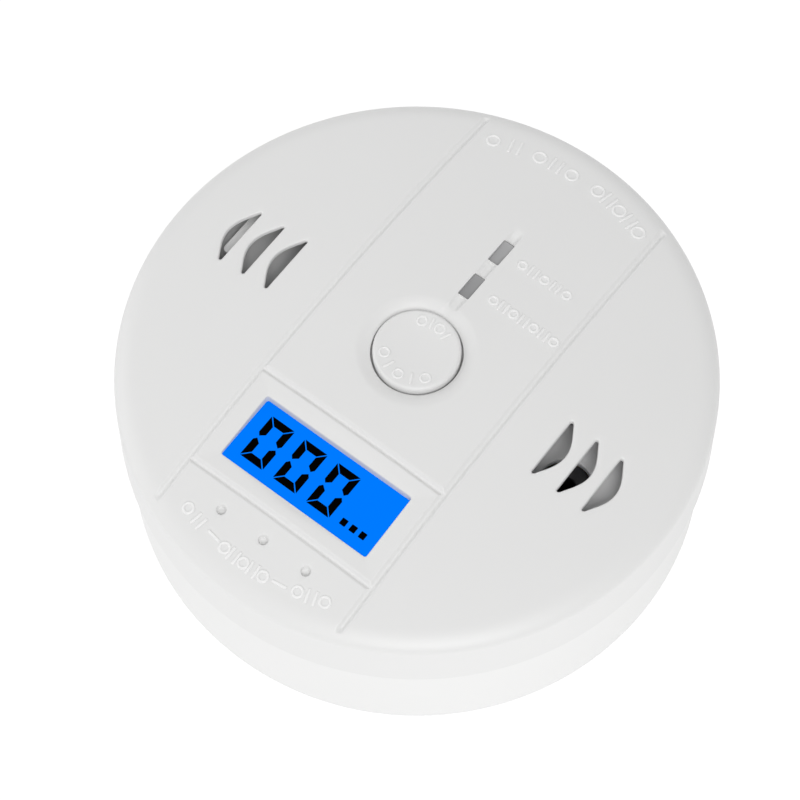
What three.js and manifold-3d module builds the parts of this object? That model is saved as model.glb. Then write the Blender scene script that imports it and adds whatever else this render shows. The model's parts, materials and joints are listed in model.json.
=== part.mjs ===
// Carbon monoxide alarm: a round head that twists onto a base screwed to the wall.
// Millimetres. +Z points from the wall out through the face, +Y to the top of the face.
// The origin is the centre of the base's back.

import * as THREE from 'three';
import { mergeVertices } from 'three/addons/utils/BufferGeometryUtils.js';
import Module from 'manifold-3d';

// ---------------------------------------------------------------- driving dimensions

const GAP = 0.3; // between pieces that rest on each other
const FIT = 0.15; // around a piece that slides into a window

const FACE = { height: 38.2, sag: 3.85, sagRadius: 44.5 }; // the shallow dome of the face
const SHELL = {
  rim: 21, radius: 49.6, shoulderRadius: 49.1, shoulderZ: 31.75, edgeRadius: 45.6, wall: 2.2,
};
const THROUGH = [30, 40]; // heights that a cut right through the face runs between
const DISH = { outer: 9.8, inner: 7.45, z: 36.85 }; // the hollow around the button
const GROOVE = { width: 0.8, depth: 0.4, long: 18.2, near: -35.5, far: -16.9 };
const WINDOW = { x: 14.5, y0: -32.2, y1: -20.3, drop: 0.3 }; // in a panel sunk by the drop
const SLOT = { half: 5.45, bulge: 2.75, tip: 0.5, fullness: 1.35, chords: [26.6, 31.5, 36.3] };
const THINNED = { x: [24.6, 41.4], y: [-7.4, 7.4], wall: 0.9 }; // the wall round the slots
const LIGHT = { width: 2.1, length: 4.75, ys: [14.65, 22.8], channelEnd: 28.9 };
const DIMPLE = { radius: 0.75, y: -39.4, xs: [-8.4, 0, 8.4] };

const BASE = { top: 20.6, topRadius: 48.6, footRadius: 49.4, inner: 46.9, floor: 2 };
const KEYHOLE = { x: 30, headY: -3, headRadius: 4.3, slotWidth: 4.8, slotTop: 6 };
const LUG = { angles: [90, 210, 330], half: 10, z: 12, height: 2, inner: 44.9 };
const HOOK = { half: 8, z: 8.6, height: 3, outer: 46.4 };
const STOP = { from: 8.6, to: 11.6 }; // degrees before the lug's middle

const HOUSING = { back: 3, radius: 44.4, plate: 2, wall: 1.8, flange: 46.9, top: 23.2 };
const POCKET = { x: 23.6, y: 28.7, wall: 1.5, ceiling: 18, roof: 1.2 };
const HOUSING_SCREW = { radius: 40, angles: [45, 135, 225, 315], post: 4.2, seat: 17 };
const BOARD_SCREW = { at: [[0, 36.5], [-34.6, -18], [34.6, -18]], post: 3.2 };

const BOARD = { z: 21, thickness: 1.6, radius: 42.2 };
const BOARD_TOP = BOARD.z + BOARD.thickness;
const SEAT = BOARD_TOP + GAP; // where parts stand on the board

const BUTTON = { radius: 7.1, flange: 8.6, flangeZ: 34.6, flangeHeight: 1, stalk: 2.1, foot: 30.8 };
const SWITCH = { side: 6, height: 3.5, stem: 1.75, stemTop: 30, well: 2 };
const BUTTON_SPRING = { radius: 5.6, wire: 0.35, turns: 5 };

const LCD = { x: 15.9, y0: -33.9, y1: -19.3, glassZ: 33, glass: 1.4, frameTop: 32.7 };
const SOUNDER = { x: 31.2, y: -2.2, radius: 10.8, top: 31.4, throat: 4.4 };
const SENSOR = { x: -33, radius: 7.3, baseHeight: 2, canTop: 30.6 };
const FILTER_CLIP = { x: [-38.4, -35.5], y: [-3, 7.2], z: [32, 33] };

const CELL = { radius: 7.1, length: 50.3, pitch: 15, z: 10.6, nub: 2.7, shift: 1.2 };
const CONTACT = { y: 28.2, thickness: 0.4, height: 11 };
const LEAD_RADIUS = 0.5;

const ROUND = 48; // sides of the large turned pieces
const SMALL = 16; // sides of the small ones

// ---------------------------------------------------------------- solids

const wasm = await Module();
wasm.setup();

const degrees = (angle) => THREE.MathUtils.degToRad(angle);
const polar = (radius, angle) => [Math.cos(degrees(angle)) * radius, Math.sin(degrees(angle)) * radius];
const faceZ = (radius) => FACE.height - FACE.sag * (radius / FACE.sagRadius) ** 2;

function signedVolume(points, triangles) {
  const [a, b, c] = [0, 1, 2].map(() => new THREE.Vector3());
  let volume = 0;
  for (let i = 0; i < triangles.length; i += 3) {
    [a, b, c].forEach((corner, k) => corner.fromArray(points, 3 * triangles[i + k]));
    volume += a.dot(b.cross(c)) / 6;
  }
  return volume;
}

// A closed three.js geometry as a solid that booleans can use.
function solid(geometry) {
  const bare = geometry.clone();
  bare.deleteAttribute('normal');
  bare.deleteAttribute('uv');
  const merged = mergeVertices(bare, 1e-4);
  const points = merged.attributes.position.array;
  const corners = merged.index.array;
  const triangles = [];
  for (let i = 0; i < corners.length; i += 3) {
    const [a, b, c] = corners.slice(i, i + 3);
    if (a !== b && b !== c && c !== a) triangles.push(a, b, c);
  }
  if (signedVolume(points, triangles) < 0) triangles.reverse();
  return new wasm.Manifold(new wasm.Mesh({
    numProp: 3,
    vertProperties: Float32Array.from(points),
    triVerts: Uint32Array.from(triangles),
  }));
}

function geometryOf(body) {
  const mesh = body.getMesh();
  const geometry = new THREE.BufferGeometry();
  geometry.setAttribute('position', new THREE.BufferAttribute(mesh.vertProperties, 3));
  geometry.setIndex(new THREE.BufferAttribute(mesh.triVerts, 1));
  geometry.computeVertexNormals();
  return geometry;
}

const join = (...bodies) => bodies.flat().reduce((whole, body) => whole.add(body));
const cut = (body, ...tools) => tools.flat().reduce((rest, tool) => rest.subtract(tool), body);

// A profile of [radius, z] pairs, anticlockwise, spun about +Z.
function turned(profile, sides = SMALL) {
  const points = profile.map(([radius, z]) => new THREE.Vector2(radius, z));
  points.push(points[0].clone());
  return solid(new THREE.LatheGeometry(points, sides).rotateX(Math.PI / 2));
}

function disc(radius, z0, z1, [x, y] = [0, 0], sides = SMALL) {
  const geometry = new THREE.CylinderGeometry(radius, radius, z1 - z0, sides);
  return solid(geometry.rotateX(Math.PI / 2).translate(x, y, (z0 + z1) / 2));
}

function block([x0, x1], [y0, y1], [z0, z1]) {
  const geometry = new THREE.BoxGeometry(x1 - x0, y1 - y0, z1 - z0);
  return solid(geometry.translate((x0 + x1) / 2, (y0 + y1) / 2, (z0 + z1) / 2));
}

function plate(shape, z0, z1, curveSegments = 12) {
  const options = { depth: z1 - z0, bevelEnabled: false, curveSegments };
  return solid(new THREE.ExtrudeGeometry(shape, options).translate(0, 0, z0));
}

function sector([inner, outer], [from, to], [z0, z1]) {
  const shape = new THREE.Shape();
  shape.absarc(0, 0, outer, degrees(from), degrees(to), false);
  shape.absarc(0, 0, inner, degrees(to), degrees(from), true);
  shape.closePath();
  return plate(shape, z0, z1, 6);
}

// A round wire along a curve, closed at both ends.
function wire(curve, radius, steps, sides = 6) {
  const section = new THREE.Shape();
  for (let i = 0; i < sides; i += 1) {
    const angle = (2 * Math.PI * i) / sides;
    section[i ? 'lineTo' : 'moveTo'](radius * Math.cos(angle), radius * Math.sin(angle));
  }
  return solid(new THREE.ExtrudeGeometry(section, { steps, extrudePath: curve, bevelEnabled: false }));
}

class Helix extends THREE.Curve {
  constructor(radius, endRadius, z0, z1, turns) {
    super();
    Object.assign(this, { radius, endRadius, z0, z1, turns });
  }

  getPoint(t, target = new THREE.Vector3()) {
    const angle = 2 * Math.PI * this.turns * t;
    const radius = THREE.MathUtils.lerp(this.radius, this.endRadius, t);
    const z = THREE.MathUtils.lerp(this.z0, this.z1, t);
    return target.set(radius * Math.cos(angle), radius * Math.sin(angle), z);
  }
}

// ---------------------------------------------------------------- materials

const finish = (color, roughness, metalness = 0) =>
  new THREE.MeshStandardMaterial({ color, roughness, metalness });

const WHITE = [0xe9e9e7, 0.45];
const STEEL = [0xb9bbbd, 0.35, 0.9];
const BLACK = [0x1b1b1c, 0.5];

function piece(name, body, look, position = [0, 0, 0], turnZ = 0) {
  const mesh = new THREE.Mesh(geometryOf(body), finish(...look));
  mesh.name = name;
  mesh.position.set(...position);
  mesh.rotation.z = turnZ;
  return mesh;
}

// ---------------------------------------------------------------- base on the wall

function keyhole(side) {
  const x = side * KEYHOLE.x;
  const half = KEYHOLE.slotWidth / 2;
  const head = disc(KEYHOLE.headRadius, -1, BASE.floor + 1, [x, KEYHOLE.headY], 24);
  const slot = block([x - half, x + half], [KEYHOLE.headY, KEYHOLE.slotTop], [-1, BASE.floor + 1]);
  const end = disc(half, -1, BASE.floor + 1, [x, KEYHOLE.slotTop], 16);
  return join(head, slot, end);
}

function mountingBase() {
  const shell = turned([
    [0, 0], [BASE.footRadius - 0.6, 0], [BASE.footRadius, 1], [BASE.footRadius - 0.3, 4],
    [BASE.topRadius, BASE.top - 0.4], [BASE.topRadius - 0.4, BASE.top],
    [BASE.inner, BASE.top], [BASE.inner, BASE.floor], [0, BASE.floor],
  ], ROUND);
  const ring = [LUG.inner, BASE.inner + 0.5];
  const lugs = LUG.angles.map((a) => join(
    sector(ring, [a - LUG.half, a + LUG.half], [LUG.z, LUG.z + LUG.height]),
    sector(ring, [a - STOP.to, a - STOP.from], [HOOK.z, LUG.z + LUG.height]),
  ));
  return cut(join(shell, lugs), keyhole(-1), keyhole(1));
}

// ---------------------------------------------------------------- head: the two shells

function domeProfile(drop, from, to, steps) {
  return Array.from({ length: steps + 1 }, (_, i) => {
    const radius = THREE.MathUtils.lerp(from, to, i / steps);
    return [radius, faceZ(radius) - drop];
  });
}

function coverShell(drop, rings) {
  const rise = faceZ(SHELL.edgeRadius) - SHELL.shoulderZ;
  const reach = SHELL.shoulderRadius - SHELL.edgeRadius;
  const edge = [1 / 3, 2 / 3, 1].map((t) => {
    const turn = t * Math.PI / 2;
    const radius = SHELL.edgeRadius + reach * Math.sin(turn);
    return [radius - drop, SHELL.shoulderZ + rise * Math.cos(turn) - drop];
  });
  return turned([
    [0, SHELL.rim], [SHELL.radius - drop, SHELL.rim], ...edge.reverse(),
    ...domeProfile(drop, SHELL.edgeRadius - drop, 0, rings),
  ], ROUND);
}

function slotShape(chord, side) {
  const shape = new THREE.Shape();
  const steps = 12;
  shape.moveTo(side * chord, -SLOT.half);
  for (let i = 0; i <= steps; i += 1) {
    const y = THREE.MathUtils.lerp(-SLOT.half, SLOT.half, i / steps);
    const swell = Math.max(1 - (y / SLOT.half) ** 2, 0) ** SLOT.fullness;
    shape.lineTo(side * (chord + SLOT.tip + (SLOT.bulge - SLOT.tip) * swell), y);
  }
  shape.lineTo(side * chord, SLOT.half);
  shape.closePath();
  return shape;
}

// The panel between the grooves, a little below the rest of the face.
function displayPanel(outer) {
  const reach = [-GROOVE.long, GROOVE.long];
  const above = block(reach, [GROOVE.near, GROOVE.far], [SHELL.shoulderZ, FACE.height + 1]);
  return cut(above, outer.translate(0, 0, -WINDOW.drop));
}

// The inside of the cover round the slots, where the wall is thinner.
function thinnedWall(side) {
  const x = side > 0 ? THINNED.x : THINNED.x.map((reach) => -reach).reverse();
  return coverShell(THINNED.wall, 3).intersect(block(x, THINNED.y, THROUGH));
}

// Everything that is pressed a little way into the face.
function faceMarks(outer) {
  const tall = [SHELL.shoulderZ, FACE.height + 1];
  const half = GROOVE.width / 2;
  const long = [-1, 1].map((side) => {
    const x = side * GROOVE.long;
    return block([x - half, x + half], [-SHELL.radius, SHELL.radius], tall);
  });
  const short = [GROOVE.near, GROOVE.far].map((y) =>
    block([-GROOVE.long, GROOVE.long], [y - half, y + half], tall));
  const channel = block([-LIGHT.width / 2, LIGHT.width / 2], [DISH.inner, LIGHT.channelEnd], tall);
  const dimples = DIMPLE.xs.map((x) => disc(DIMPLE.radius, ...tall, [x, DIMPLE.y], 12));
  const core = outer.translate(0, 0, -GROOVE.depth);
  return cut(join(long, short, channel, dimples), core);
}

function frontCover() {
  const outer = coverShell(0, 6);
  const mouth = disc(SHELL.radius - SHELL.wall, SHELL.rim - 1, SHELL.rim, [0, 0], ROUND);
  const hollow = join(coverShell(SHELL.wall, 3), mouth);
  const guide = turned([[9.2, 31], [10.4, 31], [10.4, 36.2], [9.2, 36.2]], 24);
  const screwAt = HOUSING_SCREW.angles.map((angle) => polar(HOUSING_SCREW.radius, angle));
  const bosses = screwAt.map((at) => disc(3.4, HOUSING.top + GAP, faceZ(HOUSING_SCREW.radius) - 1, at, 16));
  const pilots = screwAt.map((at) => disc(1.6, SHELL.rim, 30, at, 10));
  const dish = turned([
    [0, DISH.z], [DISH.inner, DISH.z], [DISH.outer, faceZ(DISH.outer)], [DISH.outer, FACE.height + 1],
    [0, FACE.height + 1],
  ], 28);
  const slots = [-1, 1].flatMap((side) => SLOT.chords.map((x) => plate(slotShape(x, side), ...THROUGH)));
  const lights = LIGHT.ys.map((y) => block(
    [-LIGHT.width / 2, LIGHT.width / 2], [y - LIGHT.length / 2, y + LIGHT.length / 2], THROUGH));
  const window = block([-WINDOW.x, WINDOW.x], [WINDOW.y0, WINDOW.y1], THROUGH);
  const glassSeat = block([-LCD.x - 0.5, LCD.x + 0.5], [LCD.y0 - 0.5, LCD.y1 + 0.5],
    [THROUGH[0], LCD.glassZ + LCD.glass + GAP]);
  const hole = disc(DISH.inner, ...THROUGH, [0, 0], 28);
  const shell = join(cut(outer, hollow, thinnedWall(-1), thinnedWall(1)), guide, bosses);
  const openings = [pilots, hole, slots, lights, window, glassSeat].flat();
  return cut(shell, dish, displayPanel(outer), faceMarks(outer), openings);
}

function rearHousing() {
  const { back, radius, plate: floor, wall, flange, top } = HOUSING;
  const bowl = turned([
    [0, back], [radius - 0.8, back], [radius, back + 0.8], [radius, SHELL.rim + GAP],
    [flange, SHELL.rim + GAP], [flange, top], [radius - wall, top], [radius - wall, back + floor],
    [0, back + floor],
  ], ROUND);
  const outerX = POCKET.x + POCKET.wall;
  const outerY = POCKET.y + POCKET.wall;
  const roof = POCKET.ceiling + POCKET.roof;
  const pocket = block([-outerX, outerX], [-outerY, outerY], [back, roof]);
  const screwAt = HOUSING_SCREW.angles.map((angle) => polar(HOUSING_SCREW.radius, angle));
  const posts = screwAt.map((at) => disc(HOUSING_SCREW.post, back, top, at, 16));
  const boardPosts = BOARD_SCREW.at.map((at) => disc(BOARD_SCREW.post, back, BOARD.z - GAP, at, 16));
  const hooks = LUG.angles.map((a) =>
    sector([radius - 1, HOOK.outer], [a - HOOK.half, a + HOOK.half], [HOOK.z, HOOK.z + HOOK.height]));
  const hollow = block([-POCKET.x, POCKET.x], [-POCKET.y, POCKET.y], [back - 1, POCKET.ceiling]);
  const seats = screwAt.map((at) => join(
    disc(3.1, back - 1, HOUSING_SCREW.seat, at, 16),
    disc(1.8, back, top + 1, at, 10),
  ));
  const pilots = BOARD_SCREW.at.map((at) => disc(1.5, 11, BOARD.z, at, 10));
  const tabSlots = [-1, 1].map((side) => {
    const slot = block([-2.3, 2.3], [-0.6, 0.6], [POCKET.ceiling - 1, roof + 1]);
    return slot.translate(-side * CELL.pitch, side * CONTACT.y, 0);
  });
  return cut(join(bowl, pocket, posts, boardPosts, hooks), hollow, seats, pilots, tabSlots);
}

// ---------------------------------------------------------------- head: button and switch

function buttonCap() {
  const { radius, flange, flangeZ, flangeHeight, stalk, foot } = BUTTON;
  const top = FACE.height;
  const round = [0, 1, 2, 3].map((i) => {
    const turn = (i / 3) * Math.PI / 2;
    return [radius - 1.1 + 1.1 * Math.cos(turn), top - 0.75 + 0.6 * Math.sin(turn)];
  });
  return turned([
    [0, foot], [stalk, foot], [stalk, flangeZ], [flange, flangeZ], [flange, flangeZ + flangeHeight],
    [radius, flangeZ + flangeHeight], ...round, [radius * 0.5, top - 0.05], [0, top],
  ], 28);
}

function springSolid({ radius, wire: thick, turns }, z0, z1, endRadius = radius) {
  return wire(new Helix(radius, endRadius, z0 + thick, z1 - thick, turns), thick, Math.round(turns * 12), 5);
}

function switchBody() {
  const half = SWITCH.side / 2;
  const top = SEAT + SWITCH.height;
  const body = block([-half, half], [-half, half], [SEAT, top]);
  const collar = disc(2.6, top - 0.1, top + 0.5);
  return cut(join(body, collar), disc(SWITCH.well, SEAT + 1.5, top + 1));
}

const switchStem = () => disc(SWITCH.stem, SEAT + 2.2, SWITCH.stemTop);

// ---------------------------------------------------------------- head: lights and display

// A clear rod from above its lamp to the window in the face, with a collar under the face.
function lightPipe(y) {
  const x = LIGHT.width / 2 - FIT;
  const half = LIGHT.length / 2 - FIT;
  const top = faceZ(y) - GROOVE.depth - 0.2;
  const collar = faceZ(y + LIGHT.length / 2 + 1) - SHELL.wall - GAP;
  return join(
    block([-x, x], [-half, half], [SEAT + 4.2, top]),
    block([-x - 0.9, x + 0.9], [-half - 0.9, half + 0.9], [collar - 1, collar]),
  );
}

function lamp() {
  const dome = [1, 2, 3].map((i) => {
    const turn = (i / 4) * Math.PI / 2;
    return [1.4 * Math.cos(turn), 2.2 + 1.4 * Math.sin(turn)];
  });
  return turned([[0, 0], [1.8, 0], [1.8, 0.8], [1.4, 0.8], [1.4, 2.2], ...dome, [0, 3.6]], 12);
}

const lcdGlass = () => block([-LCD.x, LCD.x], [LCD.y0, LCD.y1], [LCD.glassZ, LCD.glassZ + LCD.glass]);
const lcdBacklight = () => block([-14.4, 14.4], [LCD.y0 + 1.5, LCD.y1 - 1.5], [30.3, LCD.frameTop - 0.1]);

function lcdFrame() {
  const outer = block([-16.2, 16.2], [LCD.y0 - GAP, LCD.y1 + GAP], [SEAT, LCD.frameTop]);
  const tray = block([-14.8, 14.8], [LCD.y0 + 1.1, LCD.y1 - 1.1], [30, LCD.frameTop + 1]);
  const under = block([-14.8, 14.8], [LCD.y0 + 1.1, LCD.y1 - 1.1], [SEAT - 1, 28.6]);
  return cut(outer, tray, under);
}

function pinHeader() {
  const strip = block([-11.2, 11.2], [-1, 1], [0, 2.4]);
  const pins = Array.from({ length: 8 }, (_, i) => {
    const x = -9.1 + i * 2.6;
    return block([x - 0.3, x + 0.3], [-0.3, 0.3], [2, 9.3]);
  });
  return join(strip, pins);
}

// ---------------------------------------------------------------- head: board and its parts

function circuitBoard() {
  const sheet = disc(BOARD.radius, BOARD.z, BOARD_TOP, [0, 0], ROUND);
  const through = [BOARD.z - 1, BOARD_TOP + 1];
  const notches = HOUSING_SCREW.angles.map((a) => disc(5, ...through, polar(HOUSING_SCREW.radius, a), 16));
  const holes = BOARD_SCREW.at.map((at) => disc(1.6, ...through, at, 10));
  return cut(sheet, notches, holes);
}

function sensorBase() {
  return turned([[0, 0], [SENSOR.radius + 0.5, 0], [SENSOR.radius + 0.5, 2], [0, 2]], 28);
}

function sensorCan() {
  const z0 = SENSOR.baseHeight + GAP;
  const top = SENSOR.canTop - SEAT;
  const { radius } = SENSOR;
  return turned([
    [radius - 0.6, z0], [radius, z0], [radius, top - 0.6], [radius - 0.6, top], [2, top], [2, top - 0.6],
    [radius - 0.6, top - 0.7],
  ], 24);
}

const dustFilter = () => block([-7.6, 7.6], [-8, 8], [0, 0.8]);
const filterClip = () => block(FILTER_CLIP.x, FILTER_CLIP.y, FILTER_CLIP.z);

function sounderHousing() {
  const { radius, top, throat } = SOUNDER;
  const height = top - SEAT;
  return turned([
    [radius - 1.5, 0], [radius, 0], [radius, height - 0.5], [radius - 0.5, height], [throat, height],
    [throat, height - 1.2], [radius - 3, height - 1.2], [radius - 3, 1.5], [radius - 1.5, 1.5],
  ], 28);
}

function sounderInsert() {
  const top = SOUNDER.top - SEAT - 0.3;
  return turned([[1.7, 2], [5.2, 2], [5.2, 2.8], [4, 2.8], [4, top], [1.7, top]], 20);
}

const piezoDisc = () => disc(SOUNDER.radius - 1.8, 0.6, 1, [0, 0], 28);

// A flat chip with a row of feet down two sides.
function chip(width, depth, feet) {
  const body = block([-width / 2, width / 2], [-depth / 2, depth / 2], [0.2, 1.6]);
  const pitch = (width - 1) / (feet - 1);
  const legs = Array.from({ length: feet }, (_, i) => {
    const x = -(width - 1) / 2 + i * pitch;
    return block([x - 0.22, x + 0.22], [-depth / 2 - 1, depth / 2 + 1], [0, 0.5]);
  });
  return join(body, legs);
}

const canCapacitor = (radius, height) => turned([
  [0, 0], [radius, 0], [radius, 1], [radius - 0.3, 1.3], [radius, 1.6], [radius, height - 0.4],
  [radius - 0.4, height], [0, height],
]);

const inductor = () => turned([
  [0, 0], [4.5, 0], [4.5, 0.9], [3.4, 0.9], [3.4, 4.1], [4.5, 4.1], [4.5, 5], [0, 5],
]);

function crystal() {
  const shape = new THREE.Shape();
  shape.absarc(-2.2, 0, 1.9, degrees(90), degrees(270), false);
  shape.absarc(2.2, 0, 1.9, degrees(-90), degrees(90), false);
  shape.closePath();
  return plate(shape, 0, 3.4, 8);
}

// ---------------------------------------------------------------- head: cells, contacts, leads

// A cell lying along +Y, its nub at the +Y end, centred on its length.
function cell() {
  const { radius, length, nub } = CELL;
  const can = length - 1.4;
  const body = turned([
    [0, 0], [radius - 0.5, 0], [radius, 0.5], [radius, can - 0.5], [radius - 0.5, can], [nub, can],
    [nub, length], [0, length],
  ]);
  return body.translate(0, 0, -length / 2).rotate(-90, 0, 0);
}

// A thin strip across the pocket's end; a terminal also has a tab up through the roof.
function contactPlate(width, tab) {
  const { thickness, height } = CONTACT;
  const strip = block([-width / 2, width / 2], [-thickness / 2, thickness / 2], [-height / 2, height / 2]);
  const rise = block([-1.8, 1.8], [-thickness / 2, thickness / 2], [0, BOARD.z - 0.4 - CELL.z]);
  return tab ? join(strip, rise) : strip;
}

function cellSpring() {
  const room = CONTACT.y - CONTACT.thickness / 2 - (CELL.length / 2 - CELL.shift) - 2 * GAP;
  return springSolid({ radius: 4.6, wire: 0.3, turns: 2.5 }, 0, room, 2.2).rotate(-90, 0, 0);
}

// A lead from a terminal's tab, down beside the pocket and up to its pad under the board.
function lead(side) {
  const x = -side * CELL.pitch;
  const tabZ = POCKET.ceiling + POCKET.roof + GAP + LEAD_RADIUS;
  const route = [
    [0, 28.75, tabZ], [0, 30.6, tabZ], [0.8, 32.2, 17.6], [1.6, 34.6, 13.4], [0.8, 37, 17], [0, 37.6, 20.7],
  ];
  const points = route.map(([dx, y, z]) => new THREE.Vector3(x + side * dx, side * y, z));
  return wire(new THREE.CatmullRomCurve3(points), LEAD_RADIUS, 24, 6);
}

const screw = (headRadius, headHeight, shankRadius, length) => turned([
  [0, 0], [headRadius - 0.4, 0], [headRadius, 0.5], [headRadius, headHeight], [shankRadius, headHeight],
  [shankRadius, headHeight + length - 0.6], [shankRadius - 0.6, headHeight + length],
  [0, headHeight + length],
], 12);

// ---------------------------------------------------------------- the assembly

const detector = new THREE.Group();
const head = new THREE.Group();
const onBoard = new THREE.Group();
onBoard.position.z = SEAT;

detector.add(piece('mounting_base', mountingBase(), WHITE), head);

head.add(
  piece('rear_housing', rearHousing(), WHITE),
  piece('front_cover', frontCover(), WHITE),
  piece('button_cap', buttonCap(), WHITE),
  piece('button_spring', springSolid(BUTTON_SPRING, SEAT, BUTTON.flangeZ - GAP), STEEL),
  piece('switch_body', switchBody(), BLACK),
  piece('switch_stem', switchStem(), [0xd8d4c8, 0.5]),
  piece('light_pipe_lower', lightPipe(LIGHT.ys[0]), [0xa6abaf, 0.2], [0, LIGHT.ys[0], 0]),
  piece('light_pipe_upper', lightPipe(LIGHT.ys[1]), [0xa6abaf, 0.2], [0, LIGHT.ys[1], 0]),
  piece('lcd_glass', lcdGlass(), [0x0a7bff, 0.15]),
  piece('lcd_backlight', lcdBacklight(), [0xdfe8f2, 0.4]),
  piece('lcd_frame', lcdFrame(), BLACK),
  piece('circuit_board', circuitBoard(), [0x1f5a36, 0.45]),
  piece('filter_clip', filterClip(), WHITE),
  onBoard,
);

onBoard.add(
  piece('led_green', lamp(), [0x6fc27a, 0.2], [0, LIGHT.ys[0], 0]),
  piece('led_red', lamp(), [0xc0392b, 0.2], [0, LIGHT.ys[1], 0]),
  piece('lcd_pin_header', pinHeader(), BLACK, [0, -17.2, 0]),
  piece('sensor_base', sensorBase(), BLACK, [SENSOR.x, 0, 0]),
  piece('sensor_can', sensorCan(), STEEL, [SENSOR.x, 0, 0]),
  piece('dust_filter', dustFilter(), [0x77797c, 0.95], [SENSOR.x, 0, SENSOR.canTop - SEAT + GAP]),
  piece('sounder_housing', sounderHousing(), [0xd9dadb, 0.5], [SOUNDER.x, SOUNDER.y, 0]),
  piece('sounder_insert', sounderInsert(), BLACK, [SOUNDER.x, SOUNDER.y, 0]),
  piece('piezo_disc', piezoDisc(), [0xc9a24a, 0.35, 0.9], [SOUNDER.x, SOUNDER.y, 0]),
  piece('mcu_chip', chip(9, 7, 8), BLACK, [-15, -9, 0], Math.PI / 2),
  piece('amplifier_chip', chip(5, 4, 4), BLACK, [-16, 7, 0]),
  piece('crystal', crystal(), STEEL, [-11, 17, 0]),
  piece('inductor', inductor(), BLACK, [17, 20, 0]),
  piece('capacitor_large', canCapacitor(4, 8), [0x2b3550, 0.4], [-20, 25, 0]),
  piece('capacitor_small', canCapacitor(2.5, 5.5), [0x2b3550, 0.4], [10, 31, 0]),
);

// The cells lie side by side in series, every second one turned end for end.
[1, -1, 1].forEach((direction, i) => {
  const x = (i - 1) * CELL.pitch;
  const turnZ = direction > 0 ? 0 : Math.PI;
  const springY = -direction * (CELL.length / 2 - CELL.shift + GAP);
  head.add(
    piece(`battery_${i + 1}`, cell(), [0x2f3d4f, 0.35], [x, direction * CELL.shift, CELL.z], turnZ),
    piece(`battery_spring_${i + 1}`, cellSpring(), STEEL, [x, springY, CELL.z], turnZ + Math.PI),
  );
});

const bridge = 2 * CELL.radius + CELL.pitch - 4;
head.add(
  piece('contact_positive', contactPlate(11, true), STEEL, [-CELL.pitch, CONTACT.y, CELL.z]),
  piece('contact_negative', contactPlate(11, true), STEEL, [CELL.pitch, -CONTACT.y, CELL.z]),
  piece('contact_bridge_top', contactPlate(bridge, false), STEEL, [CELL.pitch / 2, CONTACT.y, CELL.z]),
  piece('contact_bridge_bottom', contactPlate(bridge, false), STEEL, [-CELL.pitch / 2, -CONTACT.y, CELL.z]),
  piece('lead_red', lead(1), [0xb3261e, 0.5]),
  piece('lead_black', lead(-1), BLACK),
);

HOUSING_SCREW.angles.forEach((angle, i) => {
  const [x, y] = polar(HOUSING_SCREW.radius, angle);
  head.add(piece(`housing_screw_${i + 1}`, screw(2.7, 1.8, 1.25, 12), STEEL,
    [x, y, HOUSING_SCREW.seat - GAP - 1.8]));
});

// Board screws point down from the top of the board.
BOARD_SCREW.at.forEach(([x, y], i) => {
  const body = screw(2.6, 1.6, 1.2, 9).rotate(180, 0, 0).translate(0, 0, 1.6);
  onBoard.add(piece(`board_screw_${i + 1}`, body, STEEL, [x, y, 0]));
});

export default detector;
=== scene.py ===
"""Carbon monoxide alarm: fine surfaces and materials built around its CAD frame."""

import json
import math

import bmesh
import bpy
from bpy.props import FloatProperty, FloatVectorProperty, PointerProperty
from mathutils import Matrix, Vector
from mathutils.geometry import delaunay_2d_cdt

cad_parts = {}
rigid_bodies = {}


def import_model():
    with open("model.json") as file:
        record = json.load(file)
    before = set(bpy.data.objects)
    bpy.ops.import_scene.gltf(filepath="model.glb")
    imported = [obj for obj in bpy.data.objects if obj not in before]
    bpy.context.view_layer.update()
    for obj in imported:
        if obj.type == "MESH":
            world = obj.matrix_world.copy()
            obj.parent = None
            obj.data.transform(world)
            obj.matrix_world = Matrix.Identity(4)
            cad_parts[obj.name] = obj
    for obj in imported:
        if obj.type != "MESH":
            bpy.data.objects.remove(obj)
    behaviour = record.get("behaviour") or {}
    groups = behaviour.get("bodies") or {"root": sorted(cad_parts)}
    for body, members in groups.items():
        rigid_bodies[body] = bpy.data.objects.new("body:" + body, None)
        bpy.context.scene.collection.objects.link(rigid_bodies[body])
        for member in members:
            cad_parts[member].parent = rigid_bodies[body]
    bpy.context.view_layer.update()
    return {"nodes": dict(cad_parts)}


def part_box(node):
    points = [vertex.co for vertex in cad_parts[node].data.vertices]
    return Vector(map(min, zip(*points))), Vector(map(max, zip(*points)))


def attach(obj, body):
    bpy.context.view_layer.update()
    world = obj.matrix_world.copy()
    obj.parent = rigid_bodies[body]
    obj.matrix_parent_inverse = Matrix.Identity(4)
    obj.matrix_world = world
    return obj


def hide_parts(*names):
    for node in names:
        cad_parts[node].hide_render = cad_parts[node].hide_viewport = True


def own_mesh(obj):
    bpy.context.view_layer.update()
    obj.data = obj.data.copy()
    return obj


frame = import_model()

bl_info = {
    "name": "Carbon monoxide alarm",
    "version": (1, 0, 0),
    "blender": (4, 5, 0),
    "location": "3D view > Sidebar > Alarm",
    "description": "Builds the finished surfaces of a round carbon monoxide alarm around its CAD frame",
    "category": "Object",
}

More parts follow.
